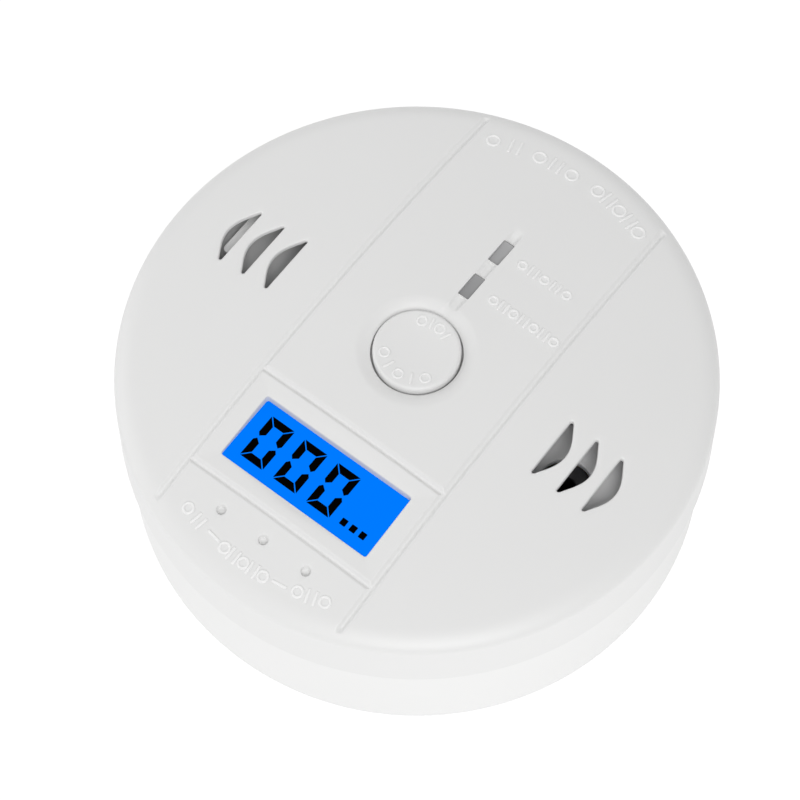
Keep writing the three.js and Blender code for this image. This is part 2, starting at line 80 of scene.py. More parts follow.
MM = 0.001
TURN = 2 * math.pi
HEAD, BASE, BUTTON, STEM = "head", "base", "button", "stem"
COVER_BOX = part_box("front_cover")
CAP_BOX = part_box("button_cap")
GLASS_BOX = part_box("lcd_glass")
SKIN_REACH = 47.7 * MM  # the face is meshed with its grooves out to this radius, and turned beyond it
UNDER_REACH = 44.4 * MM  # the same for the inside of the face
GLASS_ZONE = (-16.4 * MM, 16.4 * MM, -34.4 * MM, -18.8 * MM)  # where the inside is cut flat for the glass
SLOT_ZONE = (24.6 * MM, 41.4 * MM, -7.4 * MM, 7.4 * MM)  # where it is thinned at the slots, mirrored in X
ZONE_STEP = 0.06 * MM  # width of the step round such a zone


# ------------------------------------------------------------------ settings


def length(name, default, description):
    return FloatProperty(name=name, default=default, description=description, unit="LENGTH", precision=5)


def colour(name, default, description):
    return FloatVectorProperty(
        name=name, default=default, description=description, subtype="COLOR", size=3, min=0, max=1
    )


class ShellSettings(bpy.types.PropertyGroup):
    """The domed cover, its grooves and slots, and the base ring."""

    radius: length("Radius", COVER_BOX[1].x, "Widest radius of the cover, at its rim")
    rim: length("Rim height", COVER_BOX[0].z, "Height of the cover's rim above the wall")
    height: length("Face height", COVER_BOX[1].z, "Height of the top of the domed face")
    sag: length("Sag", 3.85 * MM, "How far the dome drops at the sag radius")
    sag_radius: length("Sag radius", 44.5 * MM, "Radius at which the sag is given")
    edge: length("Edge radius", 45.6 * MM, "Radius at which the face starts to turn down into the side")
    shoulder: length("Shoulder radius", 49.08 * MM, "Radius at which the face has become the side")
    shoulder_z: length("Shoulder height", 31.75 * MM, "Height at which the face has become the side")
    wall: length("Wall", 2.2 * MM, "Thickness of the shell")
    groove_width: length("Groove width", 1.5 * MM, "Width of the styling grooves")
    groove_depth: length("Groove depth", 0.5 * MM, "Depth of the styling grooves")
    groove_x: length("Long grooves", 18.2 * MM, "Distance of the two long grooves from the middle")
    groove_near: length("Near groove", -35.45 * MM, "Place of the short groove below the display")
    groove_far: length("Far groove", -16.85 * MM, "Place of the short groove above the display")
    dish: length("Dish radius", 10.0 * MM, "Outer radius of the dish round the button")
    hole: length("Button hole", 7.5 * MM, "Radius of the hole the button stands in")
    dish_drop: length("Dish depth", 1.0 * MM, "How far the dish drops at the button hole")
    slot_half: length("Slot half length", 5.45 * MM, "Half the length of a sound slot")
    slot_bulge: length("Slot bulge", 2.75 * MM, "Width of a sound slot at its middle")
    slot_tip: length("Slot tip", 0.55 * MM, "Width of a sound slot near its ends")
    slot_first: length("First slot", 26.6 * MM, "Distance of the innermost slots from the middle")
    slot_pitch: length("Slot pitch", 4.87 * MM, "Distance from one slot to the next")
    colour: colour("Plastic", (0.81, 0.81, 0.806), "Colour of the white plastic")


class DisplaySettings(bpy.types.PropertyGroup):
    """The display window and its digits."""

    half_width: length("Half width", 14.45 * MM, "Half the width of the display window")
    near: length("Near edge", -32.15 * MM, "Edge of the window towards the rim")
    far: length("Far edge", -20.3 * MM, "Edge of the window towards the button")
    drop: length("Band drop", 0.32 * MM, "How far the bands sink from the grooves to the window")
    digit_width: length("Digit width", 4.62 * MM, "Width of a digit")
    digit_height: length("Digit height", 8.3 * MM, "Height of a digit")
    stroke: length("Stroke", 1.3 * MM, "Width of a digit's strokes")
    digit_first: length("First digit", -9.93 * MM, "Middle of the first digit")
    digit_pitch: length("Digit pitch", 6.66 * MM, "Distance from one digit to the next")
    digit_row: length("Digit row", -26.09 * MM, "Middle of the row of digits")
    unit_first: length("First unit mark", 8.0 * MM, "Middle of the first small mark after the digits")
    unit_pitch: length("Unit mark pitch", 1.86 * MM, "Distance from one small mark to the next")
    unit_row: length("Unit mark row", -29.35 * MM, "Middle of the row of small marks")
    blue: colour("Backlight", (0.0, 0.195, 1.0), "Colour of the lit display")


class DetailSettings(bpy.types.PropertyGroup):
    """The light channel, dimples, relief marks and lamps."""

    light_width: length("Light width", 2.1 * MM, "Width of the light windows and their channel")
    light_length: length("Light length", 4.75 * MM, "Length of each light window")
    light_low: length("Lower light", 14.65 * MM, "Place of the lower light window")
    light_high: length("Upper light", 22.8 * MM, "Place of the upper light window")
    channel_end: length("Channel end", 28.4 * MM, "Where the light channel runs out")
    channel_depth: length("Channel depth", 0.6 * MM, "Depth of the light channel")
    dimple_y: length("Dimple row", -39.4 * MM, "Place of the row of dimples")
    dimple_pitch: length("Dimple pitch", 8.42 * MM, "Distance between dimples")
    dimple_radius: length("Dimple radius", 0.85 * MM, "Radius of a dimple")
    dimple_depth: length("Dimple depth", 0.9 * MM, "Depth of a dimple")
    relief: length("Relief height", 0.2 * MM, "Height of the raised marks")
    far_arc: length("Far arc", 42.9 * MM, "Radius of the arc of raised marks above the lights")
    near_arc: length("Near arc", 44.1 * MM, "Radius of the arc of raised marks below the display")


class StageSettings(bpy.types.PropertyGroup):
    """Camera, floor and light."""

    azimuth: FloatProperty(name="Azimuth", default=36.95, description="Camera's direction, degrees")
    elevation: FloatProperty(name="Elevation", default=66.65, description="Camera's height, degrees")
    roll: FloatProperty(name="Roll", default=0.35, description="Camera's roll, degrees")
    distance: length("Distance", 395.8 * MM, "Camera's distance from the back of the base")
    lens: FloatProperty(name="Lens", default=101.7, description="Focal length, millimetres")
    offset: FloatVectorProperty(
        name="Aim offset", size=2, default=(-0.00723, 0.01938),
        description="Where the camera aims, right and up of the base's middle, as a share of the distance",
    )
    sky: FloatProperty(name="Sky", default=0.48, description="Strength of the even light from all round")
    floor: FloatProperty(name="Floor glow", default=0.95, description="Light given off by the white floor")


GROUPS = {
    "alarm_shell": ShellSettings,
    "alarm_display": DisplaySettings,
    "alarm_detail": DetailSettings,
    "alarm_stage": StageSettings,
}


def settings(name):
    return getattr(bpy.context.scene, "alarm_" + name)


# ------------------------------------------------------------------ mesh helpers


def ramp(value, low, high):
    """0 below low, 1 above high, a smooth S between."""
    t = min(max((value - low) / (high - low), 0.0), 1.0)
    return t * t * (3 - 2 * t)


def ring(radius, count, centre=(0.0, 0.0)):
    step = TURN / count
    return [
        (centre[0] + radius * math.cos(i * step), centre[1] + radius * math.sin(i * step))
        for i in range(count)
    ]


def in_mm(points, base=0.0):
    """Points given in millimetres as metres, with their heights counted from base."""
    return [(x * MM, base + y * MM) for x, y in points]


def middle(low, high):
    return (low.x + high.x) / 2, (low.y + high.y) / 2


def new_object(name, mesh):
    made = bpy.data.objects.new(name, mesh)
    bpy.context.collection.objects.link(made)
    return made


def mesh_object(name, verts, faces, sharp=35.0, merge=2e-6):
    """A smooth-shaded mesh whose edges sharper than the angle stay crisp."""
    mesh = bpy.data.meshes.new(name)
    mesh.from_pydata(verts, [], faces)
    finish_mesh(mesh, sharp, merge)
    return new_object(name, mesh)


def finish_mesh(mesh, sharp=35.0, merge=2e-6):
    """Welds a mesh, turns its faces outward and shades it smooth up to the sharp angle."""
    bm = bmesh.new()
    bm.from_mesh(mesh)
    bmesh.ops.remove_doubles(bm, verts=bm.verts, dist=merge)
    bmesh.ops.dissolve_degenerate(bm, edges=bm.edges, dist=merge / 4)
    bmesh.ops.recalc_face_normals(bm, faces=bm.faces)
    limit = math.radians(sharp)
    for face in bm.faces:
        face.smooth = True
    for edge in bm.edges:
        edge.smooth = len(edge.link_faces) == 2 and edge.calc_face_angle(0.0) < limit
    bm.to_mesh(mesh)
    bm.free()


def lathe(profile, count=96, centre=(0.0, 0.0)):
    """Vertices and faces of a profile of (radius, z) spun about Z."""
    verts, faces, rows = [], [], []
    for radius, z in profile:
        if radius < 1e-9:
            rows.append([len(verts)] * count)
            verts.append((centre[0], centre[1], z))
        else:
            rows.append(list(range(len(verts), len(verts) + count)))
            verts += [(x, y, z) for x, y in ring(radius, count, centre)]
    for low, high in zip(rows, rows[1:]):
        for i in range(count):
            j = (i + 1) % count
            corners = [low[i], low[j], high[j], high[i]]
            corners = [c for k, c in enumerate(corners) if c not in corners[:k]]
            if len(corners) > 2:
                faces.append(corners)
    return verts, faces


def joined(*parts):
    """One part (vertices, faces) out of several."""
    verts, faces = [], []
    for part_verts, part_faces in parts:
        start = len(verts)
        verts += part_verts
        faces += [[start + i for i in face] for face in part_faces]
    return verts, faces


def moved(part, offset=(0, 0, 0), turn=0.0):
    matrix = Matrix.Translation(Vector(offset)) @ Matrix.Rotation(turn, 4, "Z")
    return [tuple(matrix @ Vector(v)) for v in part[0]], part[1]


def arc(centre, radius, start, end, steps):
    """Profile points on an arc, angles in degrees from +radius towards +z."""
    return [
        (
            centre[0] + radius * math.cos(math.radians(start + (end - start) * i / steps)),
            centre[1] + radius * math.sin(math.radians(start + (end - start) * i / steps)),
        )
        for i in range(steps + 1)
    ]


def rounded_rectangle(x0, x1, y0, y1, radius, steps=4):
    corners = [(x1 - radius, y0 + radius, -90), (x1 - radius, y1 - radius, 0),
               (x0 + radius, y1 - radius, 90), (x0 + radius, y0 + radius, 180)]
    return [p for x, y, a in corners for p in arc((x, y), radius, a, a + 90, steps)]


def walls(rows, count):
    """Faces of a closed skin over rows of count points each, with both ends capped."""
    faces = [
        [start + i, start + (i + 1) % count, start + count + (i + 1) % count, start + count + i]
        for start in range(0, (rows - 1) * count, count) for i in range(count)
    ]
    faces.append(list(range(count))[::-1])
    faces.append([(rows - 1) * count + i for i in range(count)])
    return faces


def slab(outline, z0, z1, bevel):
    """A flat plate of any anticlockwise outline with its top and bottom edges rounded by bevel."""
    count = len(outline)
    curve = ((1.0, 0.0), (0.6, 0.08), (0.3, 0.29), (0.08, 0.6), (0.0, 1.0))  # shares of bevel: fall, inset
    levels = [(z0 + fall * bevel, inset) for fall, inset in curve[::-1]]
    levels += [(z1 - fall * bevel, inset) for fall, inset in curve]
    verts = [(x, y, z) for z, inset in levels for x, y in grown(outline, -inset * bevel)]
    return verts, walls(len(levels), count)


def brick(low, high, bevel=0.2 * MM):
    """A box with rounded edges between two corners."""
    corner = min(high[0] - low[0], high[1] - low[1]) * 0.5
    outline = rounded_rectangle(low[0], high[0], low[1], high[1], min(bevel, corner * 0.9), 3)
    return slab(outline, low[2], high[2], min(bevel, (high[2] - low[2]) * 0.4))


def tube(points, radius, sides=12):
    """A round wire through the points, with rounded ends."""
    path = [Vector(p) for p in points]
    last = len(path) - 1
    tangents = [(path[min(i + 1, last)] - path[max(i - 1, 0)]).normalized() for i in range(len(path))]
    normal = tangents[0].orthogonal().normalized()
    rows = []
    for i, (point, tangent) in enumerate(zip(path, tangents)):
        normal = (normal - tangent * normal.dot(tangent)).normalized()
        side = tangent.cross(normal)
        rows.append([point + radius * (math.cos(a) * normal + math.sin(a) * side)
                     for a in (TURN * k / sides for k in range(sides))])
    for end, sign in ((0, -1), (len(rows) - 1, 1)):
        centre, tangent = path[end], tangents[end]
        cap = [[centre + (v - centre) * k + tangent * sign * radius * d for v in rows[end]]
               for k, d in ((0.75, 0.5), (0.3, 0.8))]
        rows = cap[::-1] + rows if sign < 0 else rows + cap
    return [tuple(v) for row in rows for v in row], walls(len(rows), sides)


def inside(point, outline):
    """Whether a point lies inside an outline."""
    x, y = point
    hit = False
    for (x0, y0), (x1, y1) in zip(outline, outline[1:] + outline[:1]):
        if (y0 > y) != (y1 > y) and x < x0 + (y - y0) * (x1 - x0) / (y1 - y0):
            hit = not hit
    return hit


def grown(outline, distance):
    """The outline moved outwards (it runs anticlockwise) by a distance."""
    count = len(outline)
    result = []
    for i, (x, y) in enumerate(outline):
        ax, ay = outline[i - 1]
        bx, by = outline[(i + 1) % count]
        tx, ty = bx - ax, by - ay
        size = math.hypot(tx, ty) or 1.0
        result.append((x + ty / size * distance, y - tx / size * distance))
    return result


class Sheet:
    """A flat disc cut by feature lines and holes, lifted to a height."""

    def __init__(self, rim, count):
        self.points, self.edges, self.drops = [], [], {}
        self.holes, self.keep_clear = [], []
        self.loop(ring(rim, count))
        self.radius = rim

    def loop(self, points, drop=0.0, closed=True):
        """A feature line through the points, sunk by drop; returns where its points are."""
        start = len(self.points)
        self.points += points
        count = len(points)
        self.edges += [(start + i, start + (i + 1) % count) for i in range(count if closed else count - 1)]
        for i in range(start, start + count):
            self.drops[i] = drop
        return list(range(start, start + count))

    def hole(self, outline, lip=0.0):
        """A hole whose edge is rounded over by lip."""
        for share, fall in ((1.0, 0.0), (0.55, 0.12), (0.22, 0.42)):
            if lip:
                self.loop(grown(outline, lip * share), lip * fall)
        self.holes.append((outline, self.loop(outline, lip)))
        self.keep_clear.append(grown(outline, lip * 1.3) if lip else outline)

    def line(self, start, end, steps=1):
        self.loop([
            (start[0] + (end[0] - start[0]) * i / steps, start[1] + (end[1] - start[1]) * i / steps)
            for i in range(steps + 1)
        ], closed=False)

    def fill(self, pitch):
        """Loose points on a grid, clear of the holes."""
        reach = int(self.radius / pitch) + 1
        for i in range(-reach, reach + 1):
            for j in range(-reach, reach + 1):
                point = ((i + 0.5 * (j % 2)) * pitch + 1e-5, j * pitch * 0.87 + 2e-5)
                if math.hypot(*point) < self.radius - pitch * 0.4:
                    if not any(inside(point, outline) for outline in self.keep_clear):
                        self.points.append(point)

    def build(self, height, upward=True):
        """Vertices, faces, and where each loop's points ended up."""
        flat = [Vector(p) for p in self.points]
        out, _, tris, origins, _, _ = delaunay_2d_cdt(flat, self.edges, [], 0, 1e-7)
        where = {source: i for i, sources in enumerate(origins) for source in sources}
        drop = [max((self.drops.get(s, 0.0) for s in sources), default=0.0) for sources in origins]
        verts = [(p.x, p.y, height(p.x, p.y) - drop[i]) for i, p in enumerate(out)]
        faces = []
        for tri in tris:
            cx = sum(out[i].x for i in tri) / 3
            cy = sum(out[i].y for i in tri) / 3
            if not any(inside((cx, cy), outline) for outline, _ in self.holes):
                faces.append(list(tri) if upward else list(tri)[::-1])
        return verts, faces, where


def pierced(top, top_height, bottom, bottom_height):
    """Two sheets with the same holes, joined by the walls of the holes."""
    top_verts, top_faces, top_where = top.build(top_height)
    low_verts, low_faces, low_where = bottom.build(bottom_height, upward=False)
    verts, faces = joined((top_verts, top_faces), (low_verts, low_faces))
    start = len(top_verts)
    for (_, above), (_, below) in zip(top.holes, bottom.holes):
        for i in range(len(above)):
            j = (i + 1) % len(above)
            a, b = top_where[above[i]], top_where[above[j]]
            c, d = start + low_where[below[j]], start + low_where[below[i]]
            faces.append([a, d, c, b])
    return verts, faces


def place(piece, body, slot, material, *nodes):
    """Gives a finished piece its material, hangs it on its body and hides the nodes it stands for."""
    piece.data.materials.clear()
    piece.data.materials.append(material)
    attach(piece, body)
    if nodes:
        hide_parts(*nodes)
    return piece


def shown(name, part, slot, node=None, body=HEAD, sharp=35.0):
    """Places a part (vertices, faces) in the finish of its slot, standing for a node if one is named."""
    piece = mesh_object(name, *part, sharp=sharp)
    return place(piece, body, slot, finish(slot), *([node] if node else []))


def softened(name, node, bevel, slot, body=HEAD, sharp=35.0):
    """Places a copy of a CAD node with its hard edges rounded, in the finish of its slot."""
    mesh = frame["nodes"][node].data.copy()
    mesh.name = name
    bm = bmesh.new()
    bm.from_mesh(mesh)
    bmesh.ops.remove_doubles(bm, verts=bm.verts, dist=2e-6)
    bmesh.ops.dissolve_limit(bm, angle_limit=math.radians(1), verts=bm.verts, edges=bm.edges)
    bm.to_mesh(mesh)
    bm.free()
    made = new_object(name, mesh)
    edge = made.modifiers.new("edges", "BEVEL")
    edge.width, edge.segments, edge.limit_method = bevel, 2, "ANGLE"
    edge.angle_limit = math.radians(40)
    edge.use_clamp_overlap = True
    return place(baked(name, made, sharp), body, slot, finish(slot), node)


def baked(name, made, sharp=35.0):
    """Turns an object and its modifiers into a plain mesh object."""
    bpy.context.view_layer.update()
    evaluated = made.evaluated_get(bpy.context.evaluated_depsgraph_get())
    mesh = bpy.data.meshes.new_from_object(evaluated)
    old = made.data
    bpy.data.objects.remove(made)
    bpy.data.meshes.remove(old)
    mesh.name = name
    finish_mesh(mesh, sharp)
    return new_object(name, mesh)


# ------------------------------------------------------------------ geometry nodes


class Tree:
    """A node tree under construction: short calls for nodes and links."""

    def __init__(self, name, kind, inputs, outputs):
        self.tree = bpy.data.node_groups.new(name, kind)
        self.ids = {}
        for label, socket_type, default in inputs:
            socket = self.tree.interface.new_socket(label, in_out="INPUT", socket_type=socket_type)
            if default is not None:
                socket.default_value = default
            self.ids[label] = socket.identifier
        for label, socket_type in outputs:
            self.tree.interface.new_socket(label, in_out="OUTPUT", socket_type=socket_type)
        self.given = self.tree.nodes.new("NodeGroupInput").outputs
        self.result = self.tree.nodes.new("NodeGroupOutput").inputs

    def link(self, source, target):
        if hasattr(source, "is_output"):
            self.tree.links.new(source, target)
        else:
            target.default_value = source

    def node(self, kind, *args, **options):
        made = self.tree.nodes.new(kind)
        for key, value in options.items():
            setattr(made, key, value)
        for i, value in enumerate(args):
            if value is not None:
                self.link(value, made.inputs[i])
        return made

    def math(self, operation, *args):
        return self.node("ShaderNodeMath", *args, operation=operation).outputs[0]


def array_tree(name, place_points):
    """Copies of a mark, set on points and lifted onto a dome."""
    inputs = [
        ("Mark", "NodeSocketGeometry", None),
        ("Count", "NodeSocketInt", 1), ("Rows", "NodeSocketInt", 1),
        ("First", "NodeSocketFloat", 0.0), ("Step", "NodeSocketFloat", 0.0),
        ("Across", "NodeSocketFloat", 0.0), ("Row step", "NodeSocketFloat", 0.0),
        ("Dome height", "NodeSocketFloat", 0.0), ("Dome sag", "NodeSocketFloat", 0.0),
        ("Sag radius", "NodeSocketFloat", 1.0), ("Material", "NodeSocketMaterial", None),
    ]
    t = Tree(name, "GeometryNodeTree", inputs, [("Marks", "NodeSocketGeometry")])
    g = t.given
    total = t.math("MULTIPLY", g["Count"], g["Rows"])
    points = t.node("GeometryNodePoints", total)
    index = t.node("GeometryNodeInputIndex").outputs[0]
    column = t.math("MODULO", index, g["Count"])
    row = t.math("FLOOR", t.math("DIVIDE", t.math("ADD", index, 0.01), g["Count"]))
    position, rotation = place_points(t, column, row)
    set_place = t.node("GeometryNodeSetPosition", points.outputs[0])
    t.link(position, set_place.inputs["Position"])
    copies = t.node("GeometryNodeInstanceOnPoints", set_place.outputs[0])
    t.link(g["Mark"], copies.inputs["Instance"])
    if rotation is not None:
        t.link(rotation, copies.inputs["Rotation"])
    solid = t.node("GeometryNodeRealizeInstances", copies.outputs[0])
    axes = t.node("ShaderNodeSeparateXYZ", t.node("GeometryNodeInputPosition").outputs[0])
    square = t.math("ADD", t.math("MULTIPLY", axes.outputs[0], axes.outputs[0]),
                    t.math("MULTIPLY", axes.outputs[1], axes.outputs[1]))
    share = t.math("DIVIDE", square, t.math("MULTIPLY", g["Sag radius"], g["Sag radius"]))
    lift = t.math("SUBTRACT", g["Dome height"], t.math("MULTIPLY", share, g["Dome sag"]))
    raise_it = t.node("GeometryNodeSetPosition", solid.outputs[0])
    t.link(t.node("ShaderNodeCombineXYZ", None, None, lift).outputs[0], raise_it.inputs["Offset"])
    finish = t.node("GeometryNodeSetMaterial", raise_it.outputs[0])
    t.link(g["Material"], finish.inputs["Material"])
    t.link(finish.outputs[0], t.result[0])
    return t


def on_arc(t, column, row):
    """Points on an arc: First and Step are angles, Across the radius, and marks stand radially."""
    g = t.given
    angle = t.math("ADD", g["First"], t.math("MULTIPLY", column, g["Step"]))
    radius = t.math("ADD", g["Across"], t.math("MULTIPLY", row, g["Row step"]))
    x = t.math("MULTIPLY", radius, t.math("COSINE", angle))
    y = t.math("MULTIPLY", radius, t.math("SINE", angle))
    turn = t.math("SUBTRACT", angle, math.pi / 2)
    position = t.node("ShaderNodeCombineXYZ", x, y, 0.0).outputs[0]
    return position, t.node("ShaderNodeCombineXYZ", 0.0, 0.0, turn).outputs[0]


def on_grid(t, column, row):
    """Points in rows along X: First and Step place the columns, Across and Row step the rows."""
    g = t.given
    x = t.math("ADD", g["First"], t.math("MULTIPLY", column, g["Step"]))
    y = t.math("ADD", g["Across"], t.math("MULTIPLY", row, g["Row step"]))
    return t.node("ShaderNodeCombineXYZ", x, y, 0.0).outputs[0], None


def arrayed(name, mark, tree, **values):
    """Runs an array tree over one mark (vertices, faces) and returns the plain mesh data."""
    carrier = mesh_object(name + "_one", *mark)
    modifier = carrier.modifiers.new("array", "NODES")
    modifier.node_group = tree.tree
    for label, value in values.items():
        modifier[tree.ids[label.replace("_", " ")]] = value
    return baked(name, carrier)


def merged(name, pieces, sharp=35.0):
    """One mesh object out of several plain ones."""
    verts, faces = joined(*[
        ([tuple(v.co) for v in p.data.vertices], [list(f.vertices) for f in p.data.polygons]) for p in pieces
    ])
    for piece in pieces:
        mesh = piece.data
        bpy.data.objects.remove(piece)
        bpy.data.meshes.remove(mesh)
    return mesh_object(name, verts, faces, sharp, merge=1e-7)


# ------------------------------------------------------------------ materials


def grain_group():
    """Fine moulded texture: a normal, a slow tint and a slow change of gloss."""
    t = Tree("moulded grain", "ShaderNodeTree", [
        ("Scale", "NodeSocketFloat", 5200.0), ("Depth", "NodeSocketFloat", 0.1),
        ("Roughness", "NodeSocketFloat", 0.42), ("Spread", "NodeSocketFloat", 0.05),
    ], [("Normal", "NodeSocketVector"), ("Tint", "NodeSocketFloat"), ("Gloss", "NodeSocketFloat")])
    where = t.node("ShaderNodeTexCoord").outputs["Object"]
    fine = t.node("ShaderNodeTexNoise", where, noise_dimensions="3D")
    t.link(t.given["Scale"], fine.inputs["Scale"])
    fine.inputs["Detail"].default_value = 2.0
    bump = t.node("ShaderNodeBump")
    bump.inputs["Distance"].default_value = 0.00002
    t.link(t.given["Depth"], bump.inputs["Strength"])
    t.link(fine.outputs[0], bump.inputs["Height"])
    slow = t.node("ShaderNodeTexNoise", where, noise_dimensions="3D")
    slow.inputs["Scale"].default_value = 38.0
    slow.inputs["Detail"].default_value = 3.0
    t.link(bump.outputs[0], t.result["Normal"])
    swing = t.math("SUBTRACT", slow.outputs[0], 0.5)
    t.link(t.math("ADD", 0.985, t.math("MULTIPLY", swing, 0.03)), t.result["Tint"])
    spread = t.math("MULTIPLY", swing, t.given["Spread"])
    t.link(t.math("ADD", t.given["Roughness"], spread), t.result["Gloss"])
    return t.tree


def brushed_group():
    """Drawn or plated metal: faint streaks in gloss and height."""
    t = Tree("drawn metal", "ShaderNodeTree", [
        ("Roughness", "NodeSocketFloat", 0.28), ("Streaks", "NodeSocketVector", (400.0, 400.0, 9000.0)),
    ], [("Normal", "NodeSocketVector"), ("Gloss", "NodeSocketFloat")])
    where = t.node("ShaderNodeTexCoord").outputs["Object"]
    stretch = t.node("ShaderNodeVectorMath", where, t.given["Streaks"], operation="MULTIPLY")
    streak = t.node("ShaderNodeTexNoise", stretch.outputs[0], noise_dimensions="3D")
    streak.inputs["Scale"].default_value = 1.0
    streak.inputs["Detail"].default_value = 3.0
    bump = t.node("ShaderNodeBump")
    bump.inputs["Distance"].default_value = 0.000008
    bump.inputs["Strength"].default_value = 0.35
    t.link(streak.outputs[0], bump.inputs["Height"])
    t.link(bump.outputs[0], t.result["Normal"])
    swing = t.math("SUBTRACT", streak.outputs[0], 0.5)
    t.link(t.math("ADD", t.given["Roughness"], t.math("MULTIPLY", swing, 0.16)), t.result["Gloss"])
    return t.tree


def bands_group():
    """A mask that is 1 between two places along one axis, with crisp edges."""
    t = Tree("band along an axis", "ShaderNodeTree", [
        ("Axis", "NodeSocketVector", (0.0, 1.0, 0.0)),
        ("From", "NodeSocketFloat", 0.0), ("To", "NodeSocketFloat", 0.01),
        ("Soft", "NodeSocketFloat", 0.0001),
    ], [("Mask", "NodeSocketFloat")])
    where = t.node("ShaderNodeTexCoord").outputs["Object"]
    along = t.node("ShaderNodeVectorMath", where, t.given["Axis"], operation="DOT_PRODUCT").outputs["Value"]
    rise = t.math("DIVIDE", t.math("SUBTRACT", along, t.given["From"]), t.given["Soft"])
    fall = t.math("DIVIDE", t.math("SUBTRACT", t.given["To"], along), t.given["Soft"])
    low = t.math("MINIMUM", rise, fall)
    t.link(t.math("MINIMUM", t.math("MAXIMUM", low, 0.0), 1.0), t.result["Mask"])
    return t.tree


def tracks_group():
    """Copper tracks under a board's lacquer: a mask of thin right-angled lines."""
    t = Tree("board tracks", "ShaderNodeTree", [("Scale", "NodeSocketFloat", 260.0)],
             [("Mask", "NodeSocketFloat")])
    where = t.node("ShaderNodeTexCoord").outputs["Object"]
    cells = t.node("ShaderNodeTexBrick", where)
    t.link(t.given["Scale"], cells.inputs["Scale"])
    cells.inputs["Mortar Size"].default_value = 0.035
    cells.inputs["Brick Width"].default_value = 1.7
    cells.inputs["Row Height"].default_value = 0.6
    t.link(cells.outputs["Fac"], t.result["Mask"])
    return t.tree


SHARED = {}
MIX_FIRST, MIX_SECOND, MIX_RESULT = 6, 7, 2  # the mix node's colour sockets share their names with others


def shared(name):
    """One of the shared shader groups, made on first use."""
    makers = {"grain": grain_group, "metal": brushed_group, "band": bands_group, "tracks": tracks_group}
    if name not in SHARED:
        SHARED[name] = makers[name]()
    return SHARED[name]


class Surface:
    """A material under construction around one Principled shader."""

    def __init__(self, name, base, roughness, metallic=0.0, **sockets):
        self.material = bpy.data.materials.new(name)
        self.material.use_nodes = True
        self.tree = self.material.node_tree
        self.shader = self.tree.nodes["Principled BSDF"]
        self.put("Base Color", (*base, 1.0))
        self.put("Roughness", roughness)
        self.put("Metallic", metallic)
        for label, value in sockets.items():
            self.put(label.replace("_", " "), value)
        self.base = base
        self.material.diffuse_color = (*base, 1.0)

    def put(self, label, value):
        self.shader.inputs[label].default_value = value

    def add(self, kind, **values):
        made = self.tree.nodes.new(kind)
        for label, value in values.items():
            made.inputs[label.replace("_", " ")].default_value = value
        return made

    def group(self, name, **values):
        made = self.tree.nodes.new("ShaderNodeGroup")
        made.node_tree = shared(name)
        for label, value in values.items():
            made.inputs[label].default_value = value
        return made

    def join(self, output, label):
        self.tree.links.new(output, self.shader.inputs[label])

    def tinted(self, factor):
        """Makes the base colour follow a factor output."""
        mix = self.tree.nodes.new("ShaderNodeVectorMath")
        mix.operation = "SCALE"
        mix.inputs[0].default_value = self.base
        self.tree.links.new(factor, mix.inputs["Scale"])
        self.join(mix.outputs[0], "Base Color")

    def masked(self, mask, first, second):
        """Makes the base colour go from the first to the second with a mask output."""
        mix = self.tree.nodes.new("ShaderNodeMix")
        mix.data_type = "RGBA"
        self.tree.links.new(mask, mix.inputs[0])
        mix.inputs[MIX_FIRST].default_value = (*first, 1.0)
        mix.inputs[MIX_SECOND].default_value = (*second, 1.0)
        self.join(mix.outputs[MIX_RESULT], "Base Color")


def plastic(name, base, roughness, depth, scale=5200.0, **sockets):
    """Moulded plastic with a fine grain."""
    made = Surface(name, base, roughness, **sockets)
    grain = made.group("grain", Scale=scale, Depth=depth, Roughness=roughness)
    made.join(grain.outputs["Normal"], "Normal")
    made.join(grain.outputs["Gloss"], "Roughness")
    made.tinted(grain.outputs["Tint"])
    return made.material


def metal(name, base, roughness, streaks=(400.0, 400.0, 9000.0)):
    """Drawn or plated metal, streaked along the axis with the highest number."""
    made = Surface(name, base, roughness, metallic=1.0)
    drawn = made.group("metal", Roughness=roughness, Streaks=streaks)
    made.join(drawn.outputs["Normal"], "Normal")
    made.join(drawn.outputs["Gloss"], "Roughness")
    return made.material


def lit_display():
    """Backlit blue: most of its colour is its own light, which fades towards grazing directions."""
    blue = tuple(settings("display").blue)
    made = Surface("display blue", (0.0, 0.002, 0.02), 0.25, Emission_Color=(*blue, 1.0),
                   Specular_IOR_Level=0.0)
    grain = made.group("grain", Scale=900.0, Depth=0.02, Roughness=0.25)
    made.join(grain.outputs["Gloss"], "Roughness")
    made.tinted(grain.outputs["Tint"])
    facing = made.add("ShaderNodeLayerWeight", Blend=0.5)
    fade = made.add("ShaderNodeMapRange", From_Min=0.12, From_Max=0.5, To_Min=1.0, To_Max=0.3)
    made.tree.links.new(facing.outputs["Facing"], fade.inputs["Value"])
    made.join(fade.outputs["Result"], "Emission Strength")
    return made.material


def board_lacquer():
    """Green lacquer with paler tracks under it."""
    green = (0.012, 0.13, 0.05)
    made = Surface("board green", green, 0.35)
    tracks = made.group("tracks")
    grain = made.group("grain", Scale=2600.0, Depth=0.08, Roughness=0.35)
    made.masked(tracks.outputs["Mask"], green, (0.03, 0.24, 0.09))
    made.join(grain.outputs["Normal"], "Normal")
    made.join(grain.outputs["Gloss"], "Roughness")
    return made.material


